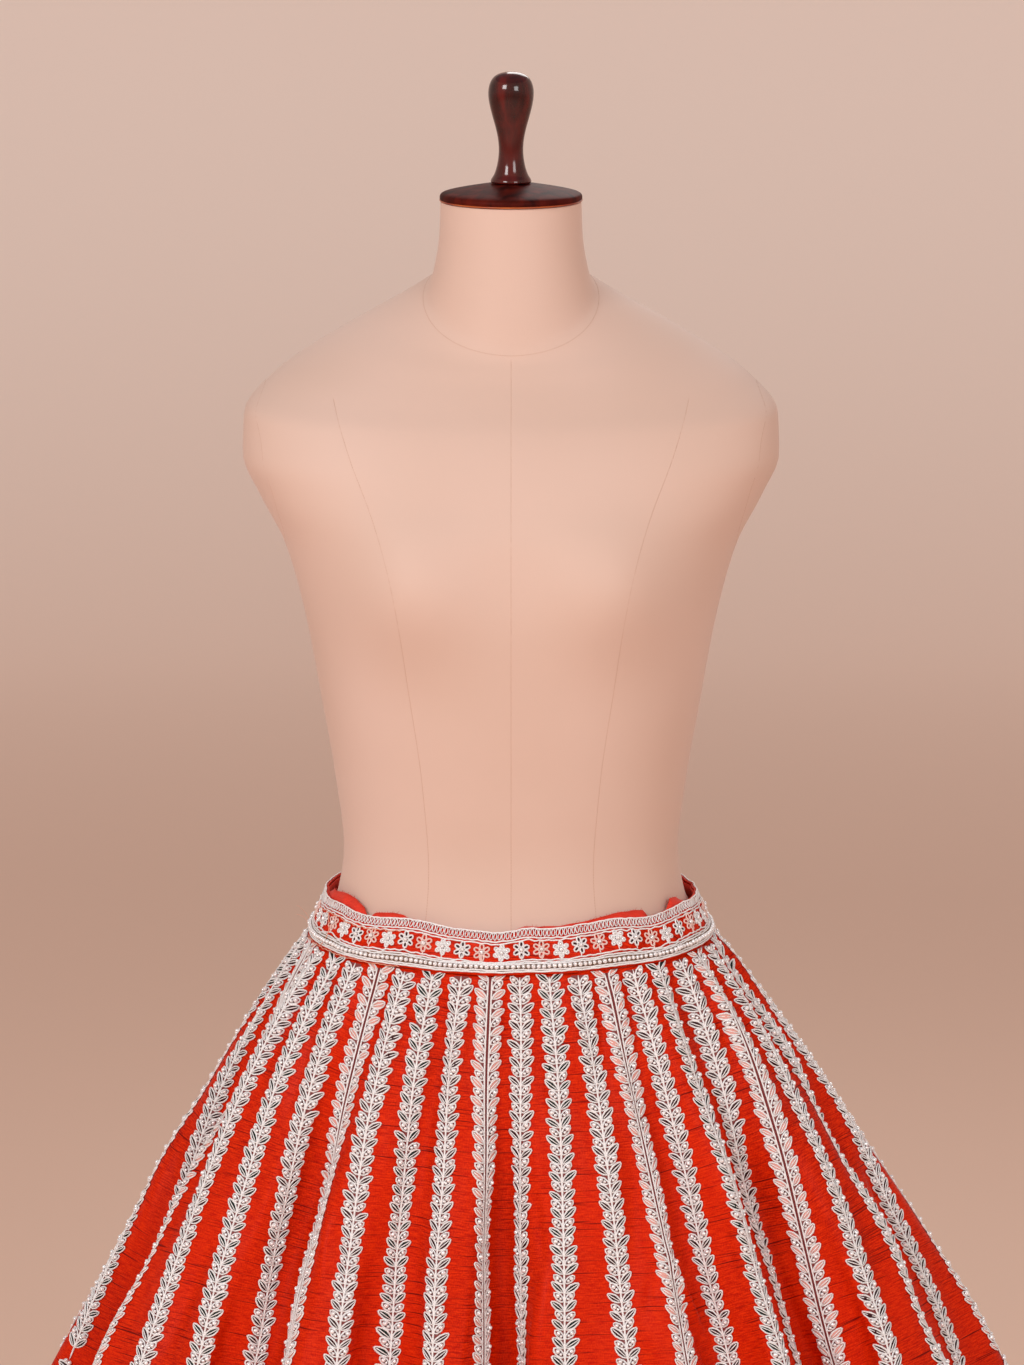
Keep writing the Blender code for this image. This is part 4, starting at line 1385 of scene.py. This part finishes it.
def form_row(level, places):
    width, depth, middle, squareness, tilt = (between_rows(FORM_RINGS, level, c) for c in range(1, 6))
    x, y, _, _ = oval(width, width, depth, squareness, SAMPLES)
    y = y + middle
    z = level + tan(radians(tilt)) * y
    for side in (-1, 1):
        away = ((x - side * BUST_SIDE)**2 + (z - BUST_LEVEL)**2) / BUST_REACH**2
        y = np.where(y < middle, y - BUST_HEIGHT * np.exp(-away), y)
    return round_ring(x, y, z, places + SEAM_SHIFT)


form_levels = np.concatenate([
    np.linspace(FORM_TOP, SHOULDER_LEVEL, 40),
    np.linspace(SHOULDER_LEVEL, FORM_BOTTOM, 80)[1:],
])
form_points = np.array([form_row(level, FORM_PLACES) for level in form_levels])
form = make_sheet(FORM_TOP - form_levels, FORM_PLACES, form_points)


def form_depth(level):
    """The form sheet's row for a level."""
    return FORM_TOP - np.asarray(level, float)


waist_row = np.abs(form_levels - FORM_WAIST_LEVEL).argmin()
print("form:", len(form_levels), "rows, waist", round(form["pitch"][waist_row] * STRIPES, 3), "m")

# %% [markdown]
# ## The form's cover and seams
# The cover is one closed mesh with a soft nap. Each seam is a line of a few levels and distances from the
# middle, smoothed, with a fine dark thread sunk in it.

# %% Form cover
form_cover, tree, shader, where = mottled_material(
    "form_cover", 7.0, srgb(219, 189, 173), srgb(226, 197, 183),
    Roughness=0.62, Sheen_Weight=0.15, Sheen_Roughness=0.5)
nap = add_node(tree, "TexNoise", in_Vector=where, in_Scale=1400.0, in_Detail=0.0)
add_bump(tree, nap.outputs[0], shader, 0.0001, 0.35)
round_count = len(FORM_PLACES) - 1
rings = form_points[:, :-1]
ends = np.array([rings[0].mean(axis=0), rings[-1].mean(axis=0)])
cover_points = np.concatenate([rings.reshape(-1, 3), ends])
j = np.arange(round_count)
k = (j + 1) % round_count
last = (len(rings) - 1) * round_count
top_fan = np.stack([j, k, np.full(round_count, len(cover_points) - 2)], -1)
low_fan = np.stack([last + k, last + j, np.full(round_count, len(cover_points) - 1)], -1)
cover_side = halved(grid_faces(len(rings), round_count, closed=True))
cover_faces = np.concatenate([cover_side, top_fan, low_fan])
form_shell = mesh_object("form_shell", cover_points, cover_faces, [form_cover])
pick(form_shell)
bpy.ops.object.shade_smooth_by_angle(angle=radians(50))
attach(form_shell, "root")
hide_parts("form_body")

# %% Form seams
SEAM_RADIUS = 0.00030
SEAM_SINK = -0.00018
SEAM_TWIST = 0.002
# level and distance from the middle of the princess seams
PRINCESS = (
    (1.412, 0.126), (1.36, 0.112), (1.31, 0.095), (1.262, 0.082), (1.20, 0.072), (1.13, 0.062),
    (1.07, 0.058), (1.02, 0.062), (0.96, 0.072), (0.88, 0.078), (0.83, 0.076),
)
ARMHOLE_LEVEL = 1.345
ARMHOLE_HALF_HEIGHT = 0.058
ARMHOLE_HALF_PLACES = 2.3


def place_at(level, distance):
    """The place on the front of the form that lies this far from its middle plane."""
    front = np.linspace(-10, 10, 161)
    line = on_sheet(form, form_depth(level), front)
    return np.interp(distance, line[:, 0], front)


def smooth_line(table, count):
    """Levels and distances of a table, with a smooth curve between them."""
    table = np.array(table)
    want = np.linspace(table[0, 0], table[-1, 0], count)
    rising = table[::-1]
    return want, np.array([between_rows(rising, level, 1) for level in want])


def form_seam(levels, places):
    return cord_on(form, form_depth(levels), places, SEAM_RADIUS, SEAM_SINK, 5, twist=SEAM_TWIST), 0


seam_parts = []
princess_levels, distances = smooth_line(PRINCESS, 120)
turn = np.linspace(0, 2 * pi, 73)
armhole_levels = ARMHOLE_LEVEL + ARMHOLE_HALF_HEIGHT * np.sin(turn)
for side in (-1, 1):
    places = [place_at(level, side * distance) for level, distance in zip(princess_levels, distances)]
    seam_parts.append(form_seam(princess_levels, np.array(places)))
    seam_parts.append(form_seam(armhole_levels, side * (10 - ARMHOLE_HALF_PLACES * np.cos(turn))))
# the middle of the front and of the back, from the foot of the neck down
for middle, highest in ((0.0, 1.452), (20.0, 1.455)):
    seam_parts.append(form_seam(np.linspace(highest, 0.825, 130), np.full(130, middle)))
# round the foot of the neck, lowest at the front and the back
round_neck = np.linspace(-20, 20, 121)
neck_levels = 1.4535 + 0.008 * np.abs(np.sin(round_neck * pi / 20))**1.5
seam_parts.append(form_seam(neck_levels, round_neck))
seam_thread = cord_material("form_seam_thread", srgb(196, 156, 136), srgb(216, 180, 160), 0.75)
form_seams = piece_of("form_seams", seam_parts, [seam_thread])
print("seams on the form:", len(seam_parts))

# %% [markdown]
# ## Wooden cap and knob
# A turned cap closes the neck, and a turned knob stands on it, both in dark red lacquered wood. A profile is
# drawn as a line of points and spun round, as on a lathe, then subdivided once. A thin ring of paler orange
# makes a pale line round the cap's lower edge.

# %% Turn the cap and knob
NECK_LEVEL, NECK_MIDDLE, NECK_TILT = FORM_RINGS[-1, 0], FORM_RINGS[-1, 3], radians(FORM_RINGS[-1, 5])
SEAT = (
    Matrix.Translation((0, NECK_MIDDLE, NECK_LEVEL + tan(NECK_TILT) * NECK_MIDDLE))
    @ Matrix.Rotation(NECK_TILT, 4, "X")
)
# radius, height
CAP_PROFILE = (
    (0.0, 0.0), (0.0496, 0.0), (0.0504, 0.0005), (0.0510, 0.0014), (0.0511, 0.0028), (0.0509, 0.0044),
    (0.0497, 0.0058), (0.0440, 0.0072), (0.0340, 0.0092), (0.0190, 0.0118), (0.0156, 0.0125), (0.0, 0.0125),
)
KNOB_PROFILE = (
    (0.0, 0.0), (0.0142, 0.0), (0.0147, 0.0008), (0.0144, 0.0028), (0.0124, 0.0052), (0.0114, 0.0078),
    (0.0100, 0.0120), (0.0088, 0.0190), (0.0086, 0.0250), (0.0093, 0.0320), (0.0109, 0.0390),
    (0.0130, 0.0460), (0.0149, 0.0530), (0.0161, 0.0590), (0.0164, 0.0640), (0.0157, 0.0690),
    (0.0136, 0.0736), (0.0100, 0.0766), (0.0050, 0.0780), (0.0, 0.0782),
)
# a thin ring of paler orange round the cap's lower edge
RIM_PROFILE = (
    (0.0490, 0.0001), (0.0506, 0.0001), (0.0514, 0.0006), (0.0514, 0.0012), (0.0506, 0.0016),
    (0.0490, 0.0016), (0.0490, 0.0001),
)
TURNING_STEPS = 56
TURNING_WELD = 0.00005


def spun(name, profile, steps, weld):
    """A profile of radii and heights, spun once round the Z axis."""
    outline = bpy.data.meshes.new(name)
    outline.from_pydata([(r, 0, h) for r, h in profile], [(i, i + 1) for i in range(len(profile) - 1)], [])
    piece = linked(name, outline)
    pick(piece)
    bpy.ops.object.mode_set(mode="EDIT")
    bpy.ops.mesh.select_all(action="SELECT")
    bpy.ops.mesh.spin(steps=steps, angle=2 * pi, center=(0, 0, 0), axis=(0, 0, 1))
    bpy.ops.mesh.select_all(action="SELECT")
    bpy.ops.mesh.remove_doubles(threshold=weld)
    bpy.ops.mesh.normals_make_consistent(inside=False)
    bpy.ops.object.mode_set(mode="OBJECT")
    return piece


def turned(name, profile, height, material):
    """A profile turned round the neck's axis, at this height over the neck's top."""
    piece = spun(name, profile, TURNING_STEPS, TURNING_WELD)
    smooth = piece.modifiers.new("smooth", "SUBSURF")
    smooth.levels = smooth.render_levels = 1
    bpy.ops.object.modifier_apply(modifier=smooth.name)
    bpy.ops.object.shade_smooth_by_angle(angle=radians(40))
    piece.data.transform(SEAT @ Matrix.Translation((0, 0, height)))
    piece.data.materials.append(material)
    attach(piece, "root")
    return piece


def lacquer_material(name, roughness, specular, dark, light):
    """Dark lacquer that lets the grain of turned wood show."""
    material, tree, shader = new_material(name, Roughness=roughness, Specular_IOR_Level=specular)
    where = add_node(tree, "TexCoord")
    grain = stretched_noise(tree, where.outputs["Object"], (90, 90, 22), 4.0)
    grain.inputs["Distortion"].default_value = 0.6
    share = add_node(tree, "MapRange", in_0=grain.outputs[0], in_1=0.35, in_2=0.68)
    mix_colours(tree, share.outputs[0], dark, light, shader)
    add_bump(tree, grain.outputs[0], shader, 0.0001, 0.15)
    return material


cap_lacquer = lacquer_material("cap_lacquer", 0.50, 0.05, srgb(44, 9, 7), srgb(92, 25, 16))
knob_lacquer = lacquer_material("knob_lacquer", 0.12, 0.50, srgb(42, 7, 8), srgb(90, 18, 15))
cap = turned("wooden_cap", CAP_PROFILE, SEAM_GAP, cap_lacquer)
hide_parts("form_cap")
knob = turned("wooden_knob", KNOB_PROFILE, CAP_PROFILE[-1][1] + 2 * SEAM_GAP, knob_lacquer)
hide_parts("form_knob")
pale_edge = mottled_material("pale_edge_rim", 60.0, srgb(140, 44, 22), srgb(196, 104, 48), Roughness=0.3)[0]
rim = turned("cap_rim", RIM_PROFILE, SEAM_GAP, pale_edge)
print("cap and knob top:", round(max(v.co.z for v in knob.data.vertices), 4), "m")

# %% [markdown]
# ## Stand
# The photograph ends above the stand, so it is a plain steel pole and a round base. They stay the frame's
# own solids, with a satin grey paint that is slightly mottled.

# %% Stand paint
stand_paint, tree, shader, where = mottled_material(
    "stand_paint", 60.0, srgb(120, 116, 112), srgb(150, 146, 140), Metallic=0.6, Roughness=0.38)
speckle = add_node(tree, "TexNoise", in_Vector=where, in_Scale=900.0)
add_bump(tree, speckle.outputs[0], shader, 0.0001, 0.3)
for name in ("stand_pole", "stand_base"):
    nodes[name].data.materials.clear()
    nodes[name].data.materials.append(stand_paint)
print("stand painted")

# %% [markdown]
# ## Studio
# The floor runs up into a wall all round, like a paper sweep, far enough away that every view sees the skirt
# inside it. Two soft lights stand high in front, the stronger at the left, and a third high behind. An even
# pale world fills the shadows.

# %% Floor, sweep and lights
SWEEP_RADIUS = 16.0
SWEEP_CURVE = 4.0
SWEEP_HEIGHT = 14.0
SWEEP_STEPS = 64
NEAR_GLOW = (0.14, 0.068, 0.046, 1)
FAR_GLOW = (0.32, 0.28, 0.26, 1)
WORLD_COLOUR = (0.97, 0.98, 1.0, 1)
WORLD_STRENGTH = 0.27
SWEEP_WELD = 0.0005
turns = np.linspace(0, pi / 2, 12)
arc = [(SWEEP_RADIUS - SWEEP_CURVE * (1 - sin(a)), SWEEP_CURVE * (1 - cos(a))) for a in turns]
sweep_profile = [(0.0, 0.0)] + arc + [(SWEEP_RADIUS, SWEEP_HEIGHT)]
sweep = spun("sweep", sweep_profile, SWEEP_STEPS, SWEEP_WELD)
bpy.ops.object.shade_smooth()
paper, tree, shader = new_material(
    "sweep_paper", Base_Color=srgb(218, 194, 178), Roughness=0.9,
    Specular_IOR_Level=0.0, Emission_Strength=1.0)
where = add_node(tree, "TexCoord")
# lamps behind the form would light a real sweep: here the paper glows a little, more with distance
radius = add_node(tree, "VectorMath", operation="LENGTH", in_0=where.outputs["Object"])
split = add_node(tree, "SeparateXYZ", in_Vector=where.outputs["Object"])
raised = math_node(tree, "MULTIPLY", split.outputs["Z"], 3.0)
reach = math_node(tree, "ADD", radius.outputs["Value"], raised)
far = add_node(tree, "MapRange", interpolation_type="SMOOTHSTEP", in_0=reach, in_1=1.0, in_2=26.0)
mix_colours(tree, far.outputs[0], NEAR_GLOW, FAR_GLOW, shader, "Emission Color")
sweep.data.materials.append(paper)

# name, place, size, watts, colour
LIGHTS = (
    ("key", (-1.8, -2.7, 2.7), 1.1, 50.0, (1.0, 1.0, 1.0)),
    ("fill", (1.5, -3.0, 2.3), 1.1, 28.5, (1.0, 1.0, 1.0)),
    ("rim", (0.6, 2.8, 3.6), 1.6, 26.0, (1.0, 0.98, 0.96)),
)
AIM = Vector((0, 0, 1.0))
for name, place, size, watts, colour in LIGHTS:
    light = bpy.data.lights.new(name, "AREA")
    light.shape = "SQUARE"
    light.size = size
    light.energy = watts
    light.color = colour
    lamp = linked(name, light)
    lamp.location = place
    lamp.rotation_euler = (AIM - Vector(place)).to_track_quat("-Z", "Y").to_euler()
world = scene.world or bpy.data.worlds.new("world")
scene.world = world
world.use_nodes = True
background = world.node_tree.nodes["Background"]
background.inputs["Color"].default_value = WORLD_COLOUR
background.inputs["Strength"].default_value = WORLD_STRENGTH
print("lights:", len(LIGHTS))

# %% Sizes and finish
def corners(box):
    return [list(corner) for corner in box]
